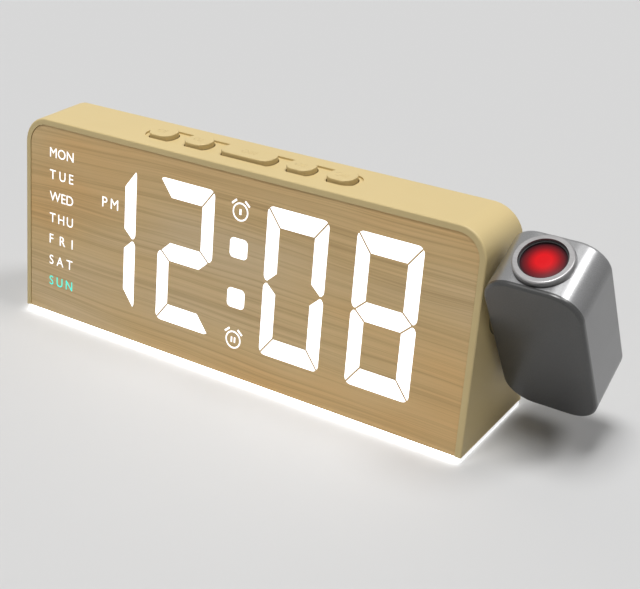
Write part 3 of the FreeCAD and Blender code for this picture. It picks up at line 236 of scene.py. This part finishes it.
class Finish(NodeMaker):
    """One finish in the making: its material, its main shader and the nodes that feed it."""

    def __init__(self, name, colour, roughness=0.5, metallic=0.0):
        self.material = bpy.data.materials.new(name)
        self.material.use_nodes = True
        super().__init__(self.material.node_tree)
        self.shader = self.tree.nodes["Principled BSDF"]
        self.set("Base Color", (*colour, 1.0))
        self.set("Roughness", roughness)
        self.set("Metallic", metallic)
        self.material.diffuse_color = (*colour, 1.0)
        self.place = None

    def set(self, socket, value):
        self.shader.inputs[socket].default_value = value

    def spot(self):
        """The place on the object, in metres."""
        if self.place is None:
            self.place = self.node("ShaderNodeTexCoord").outputs["Object"]
        return self.place

    def stretched(self, scale, turn=(0, 0, 0), source=None):
        source = source or self.spot()
        mapping = self.node(
            "ShaderNodeMapping", {"Vector": source, "Scale": scale, "Rotation": turn})
        return mapping.outputs["Vector"]

    def noise(self, scale, detail=2.0, roughness=0.5, source=None):
        made = self.node("ShaderNodeTexNoise", {
            "Vector": source or self.spot(), "Scale": scale,
            "Detail": detail, "Roughness": roughness})
        return made.outputs["Fac"]

    def ramp(self, share, *stops):
        """Colours by share: each stop is (place from 0 to 1, colour)."""
        made = self.node("ShaderNodeValToRGB", {"Fac": share})
        marks = made.color_ramp.elements
        while len(marks) < len(stops):
            marks.new(1.0)
        for mark, (at, colour) in zip(marks, stops):
            mark.position = at
            mark.color = (*colour, 1.0)
        return made.outputs["Color"]

    def blend(self, share, first, second, way="MIX"):
        made = self.node("ShaderNodeMix", data_type="RGBA", blend_type=way)
        for name, value in (("Factor_Float", share), ("A_Color", first), ("B_Color", second)):
            socket = next(s for s in made.inputs if s.identifier == name)
            self.feed(socket, value)
        return next(s for s in made.outputs if s.identifier == "Result_Color")

    def span(self, share, low, high):
        """A number that goes from low to high as share goes from 0 to 1."""
        made = self.node("ShaderNodeMapRange", {"Value": share, "To Min": low, "To Max": high})
        return made.outputs["Result"]

    def span_between(self, value, start, end, low, high):
        """A number that goes from low to high as value goes from start to end."""
        made = self.node("ShaderNodeMapRange", {
            "Value": value, "From Min": start, "From Max": end, "To Min": low, "To Max": high})
        return made.outputs["Result"]

    def with_painted_shade(self, colour, side_shade):
        """Painted shade: the colour on faces that look up, going over to a darker one on those that don't."""
        normal = self.node("ShaderNodeNewGeometry").outputs["Normal"]
        upward = self.node("ShaderNodeSeparateXYZ", {"Vector": normal}).outputs["Z"]
        shade = self.ramp(upward, (STEEP_FACE, (side_shade,) * 3), (LEVEL_FACE, (1.0, 1.0, 1.0)))
        return self.blend(1.0, colour, shade, way="MULTIPLY")

    def colour(self, value):
        self.feed(self.shader.inputs["Base Color"], value)

    def roughness(self, value):
        self.feed(self.shader.inputs["Roughness"], value)

    def bump(self, height, depth, strength=0.5):
        made = self.node("ShaderNodeBump", {
            "Height": height, "Distance": depth, "Strength": strength})
        self.feed(self.shader.inputs["Normal"], made.outputs["Normal"])


def shades(colour, low, high):
    """The same colour a little darker and a little lighter."""
    dark = tuple(min(1.0, part * low) for part in colour)
    light = tuple(min(1.0, part * high) for part in colour)
    return dark, light


def moulded_plastic(name, colour, roughness=0.5, spread=0.04, side_shade=1.0):
    """Moulded plastic: an eroded grain, painted shade on steep faces, colour and gloss that drift."""
    finish = Finish(name, colour, roughness)
    drift = finish.noise(22, detail=3)
    dark, light = shades(colour, 1 - spread, 1 + spread)
    drifting = finish.ramp(drift, (0.35, dark), (0.65, light))
    # Steep faces take painted shade, down to side_shade of the colour.
    finish.colour(finish.with_painted_shade(drifting, side_shade))
    wear = finish.noise(160, detail=4)
    finish.roughness(finish.span(wear, roughness - 0.07, roughness + 0.07))
    finish.bump(finish.noise(2600, detail=2), mm(0.02), 0.25)
    return finish


def wood_film(name):
    """Printed wood film: fine lines along the face, darker streaks, pale and warm patches, and a painted glow of
    its own colours.
    """
    face = bpy.context.scene.clock_face
    finish = Finish(name, face.wood, 0.5)
    wander = finish.noise(1, detail=2, source=finish.stretched((8, 24, 26)))
    waver = finish.node("ShaderNodeCombineXYZ", {"Z": finish.span(wander, -mm(4), mm(4))})
    moved = finish.node("ShaderNodeVectorMath", operation="ADD")
    finish.feed(moved.inputs[0], finish.spot())
    finish.feed(moved.inputs[1], waver.outputs["Vector"])
    grained = moved.outputs["Vector"]
    fine = finish.noise(1, detail=2, roughness=0.6,
                        source=finish.stretched((12, 30, 1500), source=grained))
    streaks = finish.noise(1, detail=2, source=finish.stretched((7, 20, 520), source=grained))
    patches = finish.noise(1, detail=2, source=finish.stretched((11, 20, 34), source=grained))
    toned = finish.ramp(patches, (0.32, face.light_grain), (0.5, face.wood),
                        (0.68, face.warm_grain))
    streaked = finish.blend(
        finish.span_between(streaks, 0.5, 0.72, 0.0, 0.32), toned, (*face.grain, 1.0))
    lines = finish.ramp(fine, (0.34, (0.84, 0.82, 0.79)), (0.5, (0.99, 0.99, 0.99)),
                        (0.66, (1.05, 1.05, 1.07)))
    printed = finish.blend(1.0, streaked, lines, way="MULTIPLY")
    finish.colour(printed)
    # Painted glow: the film emits its own printed colours.
    finish.feed(finish.shader.inputs["Emission Color"], printed)
    finish.set("Emission Strength", face.film_painted_glow)
    finish.roughness(finish.span(fine, 0.58, 0.46))
    finish.set("Specular IOR Level", 0.3)
    finish.bump(fine, mm(0.02), 0.2)
    return finish


def lit_plastic(name, colour, strength, spread=0.04, shade=(0.9, 0.9, 0.9)):
    """Milky plastic lit from behind, with a glow that drifts a little."""
    finish = Finish(name, shade, 0.4)
    glow = finish.noise(260, detail=1)
    dark, light = shades(colour, 1 - spread, 1.0)
    finish.feed(finish.shader.inputs["Emission Color"],
                finish.ramp(glow, (0.35, dark), (0.6, light)))
    finish.set("Emission Strength", strength)
    finish.bump(finish.noise(2200), mm(0.01), 0.2)
    return finish


def silver_lacquer(name, colour, roughness=0.32, metallic=0.85, side_shade=1.0):
    """Silver lacquer: fine flakes, a gloss that drifts, and painted shade on steep faces."""
    finish = Finish(name, colour, roughness, metallic)
    flakes = finish.noise(5200, detail=1)
    dark, light = shades(colour, 0.9, 1.1)
    # Steep faces take painted shade, down to side_shade of the colour.
    finish.colour(finish.with_painted_shade(finish.ramp(flakes, (0.38, dark), (0.62, light)), side_shade))
    drift = finish.noise(60, detail=3)
    finish.roughness(finish.span(drift, roughness - 0.05, roughness + 0.06))
    finish.bump(flakes, mm(0.006), 0.2)
    finish.set("Coat Weight", 0.25)
    finish.set("Coat Roughness", 0.2)
    return finish


def turned_metal(name, colour, roughness=0.3, lines=2400):
    """Turned metal: faint fine lines, and a gloss that drifts."""
    finish = Finish(name, colour, roughness, 1.0)
    grooves = finish.noise(1, detail=1, source=finish.stretched((lines / 10, lines, lines / 10)))
    dark, light = shades(colour, 0.95, 1.05)
    finish.colour(finish.ramp(grooves, (0.35, dark), (0.65, light)))
    drift = finish.noise(120, detail=2)
    finish.roughness(finish.span(drift, roughness - 0.04, roughness + 0.06))
    finish.bump(grooves, mm(0.004), 0.15)
    return finish


def red_glass(name):
    """The front lens: a bright red middle painted as the glow of the projector's light through it, going dark red
    towards the edge, under a clear gloss.
    """
    head = bpy.context.scene.clock_head
    finish = Finish(name, head.lens_painted_glow, 0.06)
    lens = lens_matrix()
    centre = lens.inverted()
    reach = finish.node("ShaderNodeMapping", {
        "Vector": finish.spot(),
        "Rotation": centre.to_euler(), "Location": centre.translation})
    flat = finish.node("ShaderNodeVectorMath", operation="MULTIPLY")
    finish.feed(flat.inputs[0], reach.outputs["Vector"])
    finish.feed(flat.inputs[1], (1.0, 1.0, 0.0))
    distance = finish.node("ShaderNodeVectorMath", operation="LENGTH")
    finish.feed(distance.inputs[0], flat.outputs["Vector"])
    share = finish.span_between(distance.outputs["Value"], 0.0, lens_radius(), 0.0, 1.0)
    # Painted glow: bright red over the middle third of the radius, fading to the lens edge's dark red.
    red = finish.ramp(share, (0.0, head.lens_painted_glow), (0.34, head.lens_painted_glow),
                      (0.7, tone(132, 20, 28)), (0.95, head.lens_edge))
    finish.colour(red)
    finish.roughness(finish.span(finish.noise(300, detail=3), 0.3, 0.38))
    finish.set("Specular IOR Level", 0.15)
    return finish


def lens_radius():
    low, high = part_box("objective_lens")
    return (high.x - low.x) / 2


def clear_glass(name):
    """Clear moulded lens plastic."""
    finish = Finish(name, (0.96, 0.98, 1.0), 0.05)
    finish.set("Transmission Weight", 0.9)
    finish.set("IOR", 1.49)
    finish.roughness(finish.span(finish.noise(400, detail=3), 0.03, 0.1))
    return finish


def circuit_board(name):
    """Green board: darker copper tracks in squares under the mask, and pale print."""
    finish = Finish(name, (0.03, 0.2, 0.09), 0.35)
    tracks = finish.node("ShaderNodeTexBrick", {
        "Vector": finish.stretched((1, 1, 1), turn=(0.4, 0.3, 0.2)), "Scale": 420.0,
        "Color1": (0.025, 0.19, 0.08, 1.0), "Color2": (0.04, 0.26, 0.11, 1.0),
        "Mortar": (0.012, 0.1, 0.05, 1.0), "Mortar Size": 0.06})
    cloud = finish.noise(90, detail=3)
    finish.colour(finish.blend(finish.span(cloud, 0.0, 0.35), tracks.outputs["Color"],
                               (0.06, 0.3, 0.14, 1.0)))
    finish.roughness(finish.span(finish.noise(500, detail=3), 0.28, 0.45))
    finish.bump(tracks.outputs["Fac"], mm(0.02), 0.3)
    return finish


def resin_chip(name):
    """Small lamp chips: yellow resin in a pale frame."""
    finish = Finish(name, (0.9, 0.82, 0.45), 0.25)
    cells = finish.node("ShaderNodeTexVoronoi", {"Vector": finish.spot(), "Scale": 500.0})
    finish.colour(finish.ramp(cells.outputs["Distance"], (0.0, (0.95, 0.74, 0.18)),
                              (0.5, (0.93, 0.9, 0.72))))
    finish.bump(finish.noise(1500), mm(0.01), 0.2)
    finish.set("Coat Weight", 0.5)
    return finish


def rubber(name, colour):
    """Matt rubber: dusty, with a faint grain."""
    finish = Finish(name, colour, 0.85)
    dust = finish.noise(300, detail=4)
    dark, light = shades(colour, 0.8, 1.5)
    finish.colour(finish.ramp(dust, (0.4, dark), (0.7, light)))
    finish.roughness(finish.span(dust, 0.78, 0.92))
    finish.bump(finish.noise(1800, detail=3), mm(0.03), 0.4)
    return finish


def woven_sleeve(name, colour):
    """Flexible cable sleeve: fine bands across it, soft and slightly shiny."""
    finish = Finish(name, colour, 0.55)
    bands = finish.node("ShaderNodeTexWave", {
        "Vector": finish.spot(), "Scale": 600.0, "Distortion": 1.5, "Detail": 2.0},
        bands_direction="DIAGONAL")
    dark, light = shades(colour, 0.85, 1.05)
    finish.colour(finish.ramp(bands.outputs["Fac"], (0.3, dark), (0.8, light)))
    finish.bump(bands.outputs["Fac"], mm(0.02), 0.3)
    return finish


DIGIT_STRENGTH = 1.25
SIGN_STRENGTH = 0.85
WEEKDAY_STRENGTH = 0.75


def slot_finishes():
    """One finish for each material slot of the record."""
    housing = bpy.context.scene.clock_housing
    face = bpy.context.scene.clock_face
    head = bpy.context.scene.clock_head
    return {
        "housing_plastic": moulded_plastic(
            "beige_plastic", housing.plastic, housing.plastic_roughness, spread=0.02,
            side_shade=housing.side_shade),
        "wood_face": wood_film("wood_film"),
        "lit_white": lit_plastic("lit_digits", face.lit, DIGIT_STRENGTH),
        "white_plastic": moulded_plastic("white_plastic", (0.82, 0.82, 0.79), 0.55),
        "circuit_board": circuit_board("circuit_board"),
        "lamp_chip": resin_chip("lamp_chip"),
        "black_plastic": moulded_plastic("black_plastic", (0.02, 0.02, 0.022), 0.45, spread=0.2),
        "nylon": moulded_plastic("dark_nylon", (0.035, 0.035, 0.036), 0.4, spread=0.15),
        "screw_steel": turned_metal("screw_steel", (0.56, 0.56, 0.57), 0.3, lines=2600),
        "cable_skin": woven_sleeve("cable_skin", (0.62, 0.62, 0.62)),
        "rubber": rubber("rubber", (0.022, 0.022, 0.022)),
        "silver_shell": silver_lacquer("silver_lacquer", head.shell, side_shade=head.side_shade),
        # Painted shade: a darker copy of the silver lacquer for the front plate.
        "dark_plate": silver_lacquer("dark_lacquer", head.plate, 0.36, 0.7),
        "silver_ring": turned_metal("turned_ring", head.ring, 0.36),
        "red_lens": red_glass("red_lens_glass"),
        "clear_lens": clear_glass("clear_lens_plastic"),
    }


def dress(node, finish):
    """A solid of the frame takes a finish in every one of its material slots."""
    piece = frame["nodes"][node]
    if not piece.material_slots:
        piece.data.materials.append(finish.material)
    for held in piece.material_slots:
        held.material = finish.material


class CLOCK_OT_dress_frame(bpy.types.Operator):
    """Give every solid of the frame the finish of its material slot, then the pivot collar a darker beige that is
    partly painted shade
    """
    bl_idname = "clock.dress_frame"
    bl_label = "Dress the frame"

    def execute(self, context):
        finishes = slot_finishes()
        for part in frame["record"]["subparts"]:
            dress(part["node"], finishes[part["material_slot"]])
        # The collar's darker beige is partly painted shade for the gap between housing and head.
        collar = moulded_plastic("collar_plastic", context.scene.clock_head.pad, 0.6)
        for node in ("pivot_pad", "pivot_bush"):
            dress(node, collar)
        return {"FINISHED"}


STRIP_END_OUTER = mm(0.5)
STRIP_END_INNER = mm(1.2)


class CLOCK_OT_light_strip(bpy.types.Operator):
    """Light the strip round the foot of the clock"""
    bl_idname = "clock.light_strip"
    bl_label = "Night-light strip"

    def execute(self, context):
        face = context.scene.clock_face
        finish = lit_plastic("lit_strip", face.lit, face.strip_strength, spread=0.06)
        across = finish.node("ShaderNodeSeparateXYZ", {"Vector": finish.spot()}).outputs["X"]
        strength = finish.span_between(
            across, HOUSING_HIGH.x - STRIP_END_INNER, HOUSING_HIGH.x - STRIP_END_OUTER,
            face.strip_strength, face.strip_end_strength)
        finish.feed(finish.shader.inputs["Emission Strength"], strength)
        dress("night_light_strip", finish)
        return {"FINISHED"}


def letter_mesh(letter, height, thickness):
    """A letter of the plain sans face as a closed plate, its lower left corner at the origin."""
    curve = bpy.data.curves.new("letter_" + letter, "FONT")
    curve.body = letter
    curve.extrude = 0.5
    curve.resolution_u = 12
    drawn = add_object("letter", curve)
    mesh = plain_mesh(drawn, "letter_" + letter)
    drop(drawn)
    bpy.data.curves.remove(curve)
    corners = [[vertex.co[k] for vertex in mesh.vertices] for k in range(3)]
    low = Vector(map(min, corners))
    high = Vector(map(max, corners))
    grow = height / (high.y - low.y)
    width = (high.x - low.x) * grow
    squeeze = Matrix.Diagonal((grow, grow, thickness / (high.z - low.z), 1))
    mesh.transform(squeeze @ Matrix.Translation(-low))
    return mesh, width


def joined(name, meshes):
    """Several meshes as one, each kept as it is."""
    points, faces = [], []
    for mesh in meshes:
        start = len(points)
        points.extend(vertex.co.copy() for vertex in mesh.vertices)
        faces.extend([start + corner for corner in face.vertices] for face in mesh.polygons)
        bpy.data.meshes.remove(mesh)
    whole = bpy.data.meshes.new(name)
    whole.from_pydata(points, [], faces)
    return whole


LETTER_SINK = mm(0.04)


def lit_word(name, word, left, right, low, height, finish):
    """A word on the film: its letters fill the given width with even gaps between them."""
    rise = bpy.context.scene.clock_face.letter_rise
    thickness = rise + LETTER_SINK
    letters = [letter_mesh(letter, height, thickness) for letter in word]
    spare = (right - left) - sum(width for mesh, width in letters)
    gap = spare / (len(word) - 1)
    at = left
    for mesh, width in letters:
        mesh.transform(Matrix.Translation((at, low, -LETTER_SINK)))
        at += width + gap
    whole = joined(name, [mesh for mesh, width in letters])
    whole.transform(film_matrix())
    whole.materials.append(finish.material)
    piece = add_object(name, whole)
    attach(piece, "clock_body")


WEEKDAYS = ("SUN", "SAT", "FRI", "THU", "WED", "TUE", "MON")
LIT_WEEKDAY = "SUN"
WEEKDAY_LEFT = mm(10.7)
WEEKDAY_RIGHT = mm(21.2)
WEEKDAY_MIDDLE = mm(13.1)
WEEKDAY_PITCH = mm(7.42)
AFTERNOON_LEFT = mm(34.0)
AFTERNOON_RIGHT = mm(40.8)
AFTERNOON_LOW = mm(42.7)
AFTERNOON_HEIGHT = mm(3.4)


class CLOCK_OT_words(bpy.types.Operator):
    """Make the lit weekday names and the afternoon sign"""
    bl_idname = "clock.words"
    bl_label = "Words on the face"

    def execute(self, context):
        face = context.scene.clock_face
        white = lit_plastic("lit_words", face.lit, SIGN_STRENGTH)
        aqua = lit_plastic("lit_weekday", face.weekday_lit, WEEKDAY_STRENGTH,
                           shade=face.weekday_lit)
        for place, word in enumerate(WEEKDAYS):
            low = WEEKDAY_MIDDLE - face.letter_height + place * WEEKDAY_PITCH
            finish = aqua if word == LIT_WEEKDAY else white
            lit_word("word_" + word.lower(), word, WEEKDAY_LEFT, WEEKDAY_RIGHT, low,
                     face.letter_height, finish)
        lit_word("word_pm", "PM", AFTERNOON_LEFT, AFTERNOON_RIGHT, AFTERNOON_LOW,
                 AFTERNOON_HEIGHT, white)
        return {"FINISHED"}


class SignTree(NodeMaker):
    """A Geometry Nodes tree in the making, for flat signs."""

    def __init__(self, name):
        super().__init__(bpy.data.node_groups.new(name, "GeometryNodeTree"))
        self.tree.interface.new_socket("Geometry", in_out="OUTPUT",
                                       socket_type="NodeSocketGeometry")
        self.inlet = self.tree.nodes.new("NodeGroupInput")
        self.outlet = self.tree.nodes.new("NodeGroupOutput")

    def input(self, name, kind="NodeSocketFloat"):
        self.tree.interface.new_socket(name, in_out="INPUT", socket_type=kind)
        return self.inlet.outputs[name]

    def vector(self, x=0.0, y=0.0, z=0.0):
        return self.node("ShaderNodeCombineXYZ", {"X": x, "Y": y, "Z": z}).outputs[0]

    def moved(self, geometry, place=(0, 0, 0), turn=(0, 0, 0)):
        return self.node("GeometryNodeTransform", {
            "Geometry": geometry, "Translation": place, "Rotation": turn}).outputs[0]

    def plate(self, width, height, thickness):
        """A flat block standing on the plane, centred on the origin."""
        block = self.node("GeometryNodeMeshCube", {
            "Size": self.vector(width, height, thickness)}).outputs["Mesh"]
        return self.moved(block, self.vector(z=self.math("MULTIPLY", thickness, 0.5)))

    def hoop(self, radius, stroke, thickness):
        """A flat ring standing on the plane."""
        circle = self.node("GeometryNodeCurvePrimitiveCircle", {
            "Resolution": 48, "Radius": radius}).outputs["Curve"]
        band = self.node("GeometryNodeCurvePrimitiveQuadrilateral", {
            "Width": stroke, "Height": thickness}).outputs["Curve"]
        ring = self.node("GeometryNodeCurveToMesh", {
            "Curve": circle, "Profile Curve": band}).outputs["Mesh"]
        return self.moved(ring, self.vector(z=self.math("MULTIPLY", thickness, 0.5)))

    def repeated(self, geometry, count, pitch):
        """The geometry in a row along X, centred on the origin."""
        steps = self.math("SUBTRACT", count, 1.0)
        start = self.math("MULTIPLY", self.math("MULTIPLY", steps, pitch), -0.5)
        row = self.node("GeometryNodeMeshLine", {
            "Count": count, "Start Location": self.vector(start),
            "Offset": self.vector(pitch)}, mode="OFFSET").outputs["Mesh"]
        return self.node("GeometryNodeInstanceOnPoints", {
            "Points": row, "Instance": geometry}).outputs["Instances"]

    def finish(self, parts, material):
        join = self.node("GeometryNodeJoinGeometry")
        for part in parts:
            self.tree.links.new(part, join.inputs[0])
        real = self.node("GeometryNodeRealizeInstances", {"Geometry": join.outputs[0]})
        done = self.node("GeometryNodeSetMaterial", {
            "Geometry": real.outputs[0], "Material": material})
        self.tree.links.new(done.outputs[0], self.outlet.inputs[0])
        return self.tree


def grown(name, tree, values, place, body):
    """Add the piece that a Geometry Nodes tree makes with these values, in its place."""
    seed = add_object("seed_" + name, bpy.data.meshes.new("seed_" + name))
    modifier = seed.modifiers.new("Shape", "NODES")
    modifier.node_group = tree
    sockets = {item.name: item.identifier for item in tree.interface.items_tree
               if item.in_out == "INPUT"}
    for label, value in values.items():
        modifier[sockets[label]] = value
    mesh = plain_mesh(seed, name)
    seed.modifiers.remove(modifier)
    drop(seed)
    mesh.transform(place)
    piece = add_object(name, mesh)
    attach(piece, body)


BELL_TURN = math.radians(40)
BELL_LENGTH_SHARE = 0.85
BELL_STROKE_SHARE = 1.25
BELL_REACH_SHARE = 1.42
BAR_PITCH = mm(1.2)


def alarm_sign_tree():
    """An alarm clock's outline: a ring, two bells on it, and as many bars inside as its number."""
    row = SignTree("alarm_sign")
    radius = row.input("Radius")
    stroke = row.input("Stroke")
    thickness = row.input("Thickness")
    bars = row.input("Bars", "NodeSocketInt")
    bar_width = row.input("Bar Width")
    bar_length = row.input("Bar Length")
    material = row.input("Material", "NodeSocketMaterial")
    parts = [row.hoop(radius, stroke, thickness)]
    bell = row.plate(row.math("MULTIPLY", radius, BELL_LENGTH_SHARE),
                     row.math("MULTIPLY", stroke, BELL_STROKE_SHARE), thickness)
    raised = row.moved(bell, row.vector(y=row.math("MULTIPLY", radius, BELL_REACH_SHARE)))
    for side in (-1, 1):
        parts.append(row.moved(raised, turn=(0, 0, side * BELL_TURN)))
    bar = row.plate(bar_width, bar_length, thickness)
    parts.append(row.repeated(bar, bars, BAR_PITCH))
    return row.finish(parts, material)


ALARM_X = mm(89.0)
ALARM_HEIGHTS = (mm(53.4), mm(12.3))
ALARM_BAR_WIDTHS = (mm(0.8), mm(0.55))


class CLOCK_OT_alarm_signs(bpy.types.Operator):
    """Make the two lit alarm signs"""
    bl_idname = "clock.alarm_signs"
    bl_label = "Alarm signs"

    def execute(self, context):
        face = context.scene.clock_face
        tree = alarm_sign_tree()
        white = lit_plastic("lit_signs", face.lit, SIGN_STRENGTH)
        for number, (height, width) in enumerate(zip(ALARM_HEIGHTS, ALARM_BAR_WIDTHS), start=1):
            place = film_matrix() @ Matrix.Translation((ALARM_X, height, -LETTER_SINK))
            grown(f"alarm_sign_{number}", tree, {
                "Radius": face.sign_radius, "Stroke": face.sign_stroke, "Bars": number,
                "Bar Width": width, "Bar Length": face.sign_bar,
                "Thickness": face.letter_rise + LETTER_SINK, "Material": white.material,
            }, place, "clock_body")
        return {"FINISHED"}


MARK_PITCH_STROKES = 2.2
MARK_BARS_SHARE = 0.55
MARK_RING_SHARE = -0.6


def button_mark_tree():
    """A raised mark: a row of short bars beside a small ring."""
    row = SignTree("button_mark")
    size = row.input("Size")
    stroke = row.input("Stroke")
    thickness = row.input("Thickness")
    bars = row.input("Bars", "NodeSocketInt")
    material = row.input("Material", "NodeSocketMaterial")
    bar = row.plate(stroke, size, thickness)
    pitch = row.math("MULTIPLY", stroke, MARK_PITCH_STROKES)
    ring = row.hoop(row.math("MULTIPLY", size, 0.5), stroke, thickness)
    reach = row.math("MULTIPLY", row.math("ADD", size, row.math("MULTIPLY", bars, pitch)), 0.5)
    bars_x = row.math("MULTIPLY", reach, MARK_BARS_SHARE)
    ring_x = row.math("MULTIPLY", reach, MARK_RING_SHARE)
    parts = [
        row.moved(row.repeated(bar, bars, pitch), row.vector(bars_x)),
        row.moved(ring, row.vector(ring_x)),
    ]
    return row.finish(parts, material)


BUTTON_MARKS = {"button_1": 1, "button_2": 2, "snooze_button": 4, "button_4": 2, "button_5": 3}
MARK_SINK = mm(0.05)


class CLOCK_OT_button_marks(bpy.types.Operator):
    """Make the raised marks on the tops of the buttons"""
    bl_idname = "clock.button_marks"
    bl_label = "Button marks"

    def execute(self, context):
        housing = context.scene.clock_housing
        tree = button_mark_tree()
        for button, bars in BUTTON_MARKS.items():
            cap = frame["nodes"][button + "_cap"]
            low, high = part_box(button + "_cap")
            centre = Vector(((low.x + high.x) / 2, (low.y + high.y) / 2, high.z - MARK_SINK))
            grown(button + "_mark", tree, {
                "Size": housing.mark_size, "Stroke": housing.mark_stroke, "Bars": bars,
                "Thickness": housing.mark_rise + MARK_SINK,
                "Material": cap.material_slots[0].material,
            }, Matrix.Translation(centre), button)
        return {"FINISHED"}


CAMERA_PLACE = Vector((mm(213.6), mm(-281.6), mm(201.5)))
CAMERA_AZIMUTH = math.radians(33.86)
CAMERA_RISE = math.radians(27.06)
CAMERA_LENS = 70.09
KEY_DIRECTION = (0.0, -0.28, 1.0)
KEY_SPREAD = math.radians(22)
EDGE_DIRECTION = (0.45, 0.18, 0.87)
EDGE_SPREAD = math.radians(16)


def add_camera(scene):
    data = bpy.data.cameras.new("camera")
    data.lens = CAMERA_LENS
    data.clip_start = 0.01
    camera = add_object("camera", data)
    camera.rotation_euler = (math.pi / 2 - CAMERA_RISE, 0, CAMERA_AZIMUTH)
    camera.location = CAMERA_PLACE
    scene.camera = camera


def add_lamp(name, direction, spread, strength):
    """A far lamp that shines from a direction, as wide as spread is."""
    data = bpy.data.lights.new(name, "SUN")
    data.angle = spread
    data.energy = strength
    lamp = add_object(name, data)
    lamp.location = direction
    lamp.rotation_euler = Vector(direction).to_track_quat("Z", "Y").to_euler()


def add_floor(settings):
    """A plain square floor under the feet."""
    half = settings.floor_size / 2
    corners = [(-half, -half, 0), (half, -half, 0), (half, half, 0), (-half, half, 0)]
    mesh = bpy.data.meshes.new("floor")
    mesh.from_pydata(corners, [], [(0, 1, 2, 3)])
    finish = Finish("floor_paper", settings.floor, 0.9)
    paper = finish.noise(700, detail=3)
    finish.roughness(finish.span(paper, 0.86, 0.96))
    finish.set("Specular IOR Level", 0.1)
    mesh.materials.append(finish.material)
    add_object("floor", mesh)


def set_world(scene, settings):
    """Even light all round; the camera, gloss and clear parts see the floor's own grey."""
    world = bpy.data.worlds.new("studio")
    world.use_nodes = True
    tree = world.node_tree
    background = tree.nodes["Background"]
    background.inputs["Color"].default_value = (1.0, 1.0, 1.0, 1.0)
    background.inputs["Strength"].default_value = settings.sky_strength
    maker = NodeMaker(tree)
    seen = maker.node("ShaderNodeBackground", {"Color": (*settings.floor, 1.0), "Strength": 1.0})
    ray = maker.node("ShaderNodeLightPath").outputs
    share = maker.math("MAXIMUM", ray["Is Camera Ray"], ray["Is Glossy Ray"])
    share = maker.math("MAXIMUM", share, ray["Is Transmission Ray"])
    choose = maker.node("ShaderNodeMixShader")
    for socket, value in zip(choose.inputs, (share, background.outputs[0], seen.outputs[0])):
        maker.feed(socket, value)
    maker.feed(tree.nodes["World Output"].inputs["Surface"], choose.outputs[0])
    scene.world = world


class CLOCK_OT_stage(bpy.types.Operator):
    """Set the floor, the lamps, the world and the camera"""
    bl_idname = "clock.stage"
    bl_label = "Stage"

    def execute(self, context):
        scene = context.scene
        settings = scene.clock_stage
        add_camera(scene)
        add_floor(settings)
        add_lamp("key_lamp", KEY_DIRECTION, KEY_SPREAD, settings.key_strength)
        add_lamp("edge_lamp", EDGE_DIRECTION, EDGE_SPREAD, settings.edge_strength)
        set_world(scene, settings)
        scene.view_settings.view_transform = "Standard"
        return {"FINISHED"}


STEPS = (
    CLOCK_OT_stage,
    CLOCK_OT_dress_frame,
    CLOCK_OT_light_strip,
    CLOCK_OT_words,
    CLOCK_OT_alarm_signs,
    CLOCK_OT_button_marks,
)

SETTINGS = {
    "clock_housing": ClockHousingSettings,
    "clock_face": ClockFaceSettings,
    "clock_head": ClockHeadSettings,
    "clock_stage": ClockStageSettings,
}


class CLOCK_PT_panel(bpy.types.Panel):
    """The clock's settings and steps"""
    bl_idname = "CLOCK_PT_panel"
    bl_label = "Projection Alarm Clock"
    bl_space_type = "VIEW_3D"
    bl_region_type = "UI"
    bl_category = "Clock"

    def draw(self, context):
        for name, group in SETTINGS.items():
            box = self.layout.box()
            box.label(text=group.__doc__)
            settings = getattr(context.scene, name)
            for setting in group.__annotations__:
                box.prop(settings, setting)
        for step in STEPS:
            self.layout.operator(step.bl_idname)


def register():
    for name, group in SETTINGS.items():
        bpy.utils.register_class(group)
        setattr(bpy.types.Scene, name, bpy.props.PointerProperty(type=group))
    for step in STEPS:
        bpy.utils.register_class(step)
    bpy.utils.register_class(CLOCK_PT_panel)


def unregister():
    bpy.utils.unregister_class(CLOCK_PT_panel)
    for step in reversed(STEPS):
        bpy.utils.unregister_class(step)
    for name, group in SETTINGS.items():
        delattr(bpy.types.Scene, name)
        bpy.utils.unregister_class(group)


def main():
    register()
    bpy.ops.clock.stage()
    bpy.ops.clock.dress_frame()
    bpy.ops.clock.light_strip()
    bpy.ops.clock.words()
    bpy.ops.clock.alarm_signs()
    bpy.ops.clock.button_marks()


if __name__ == "__main__":
    main()
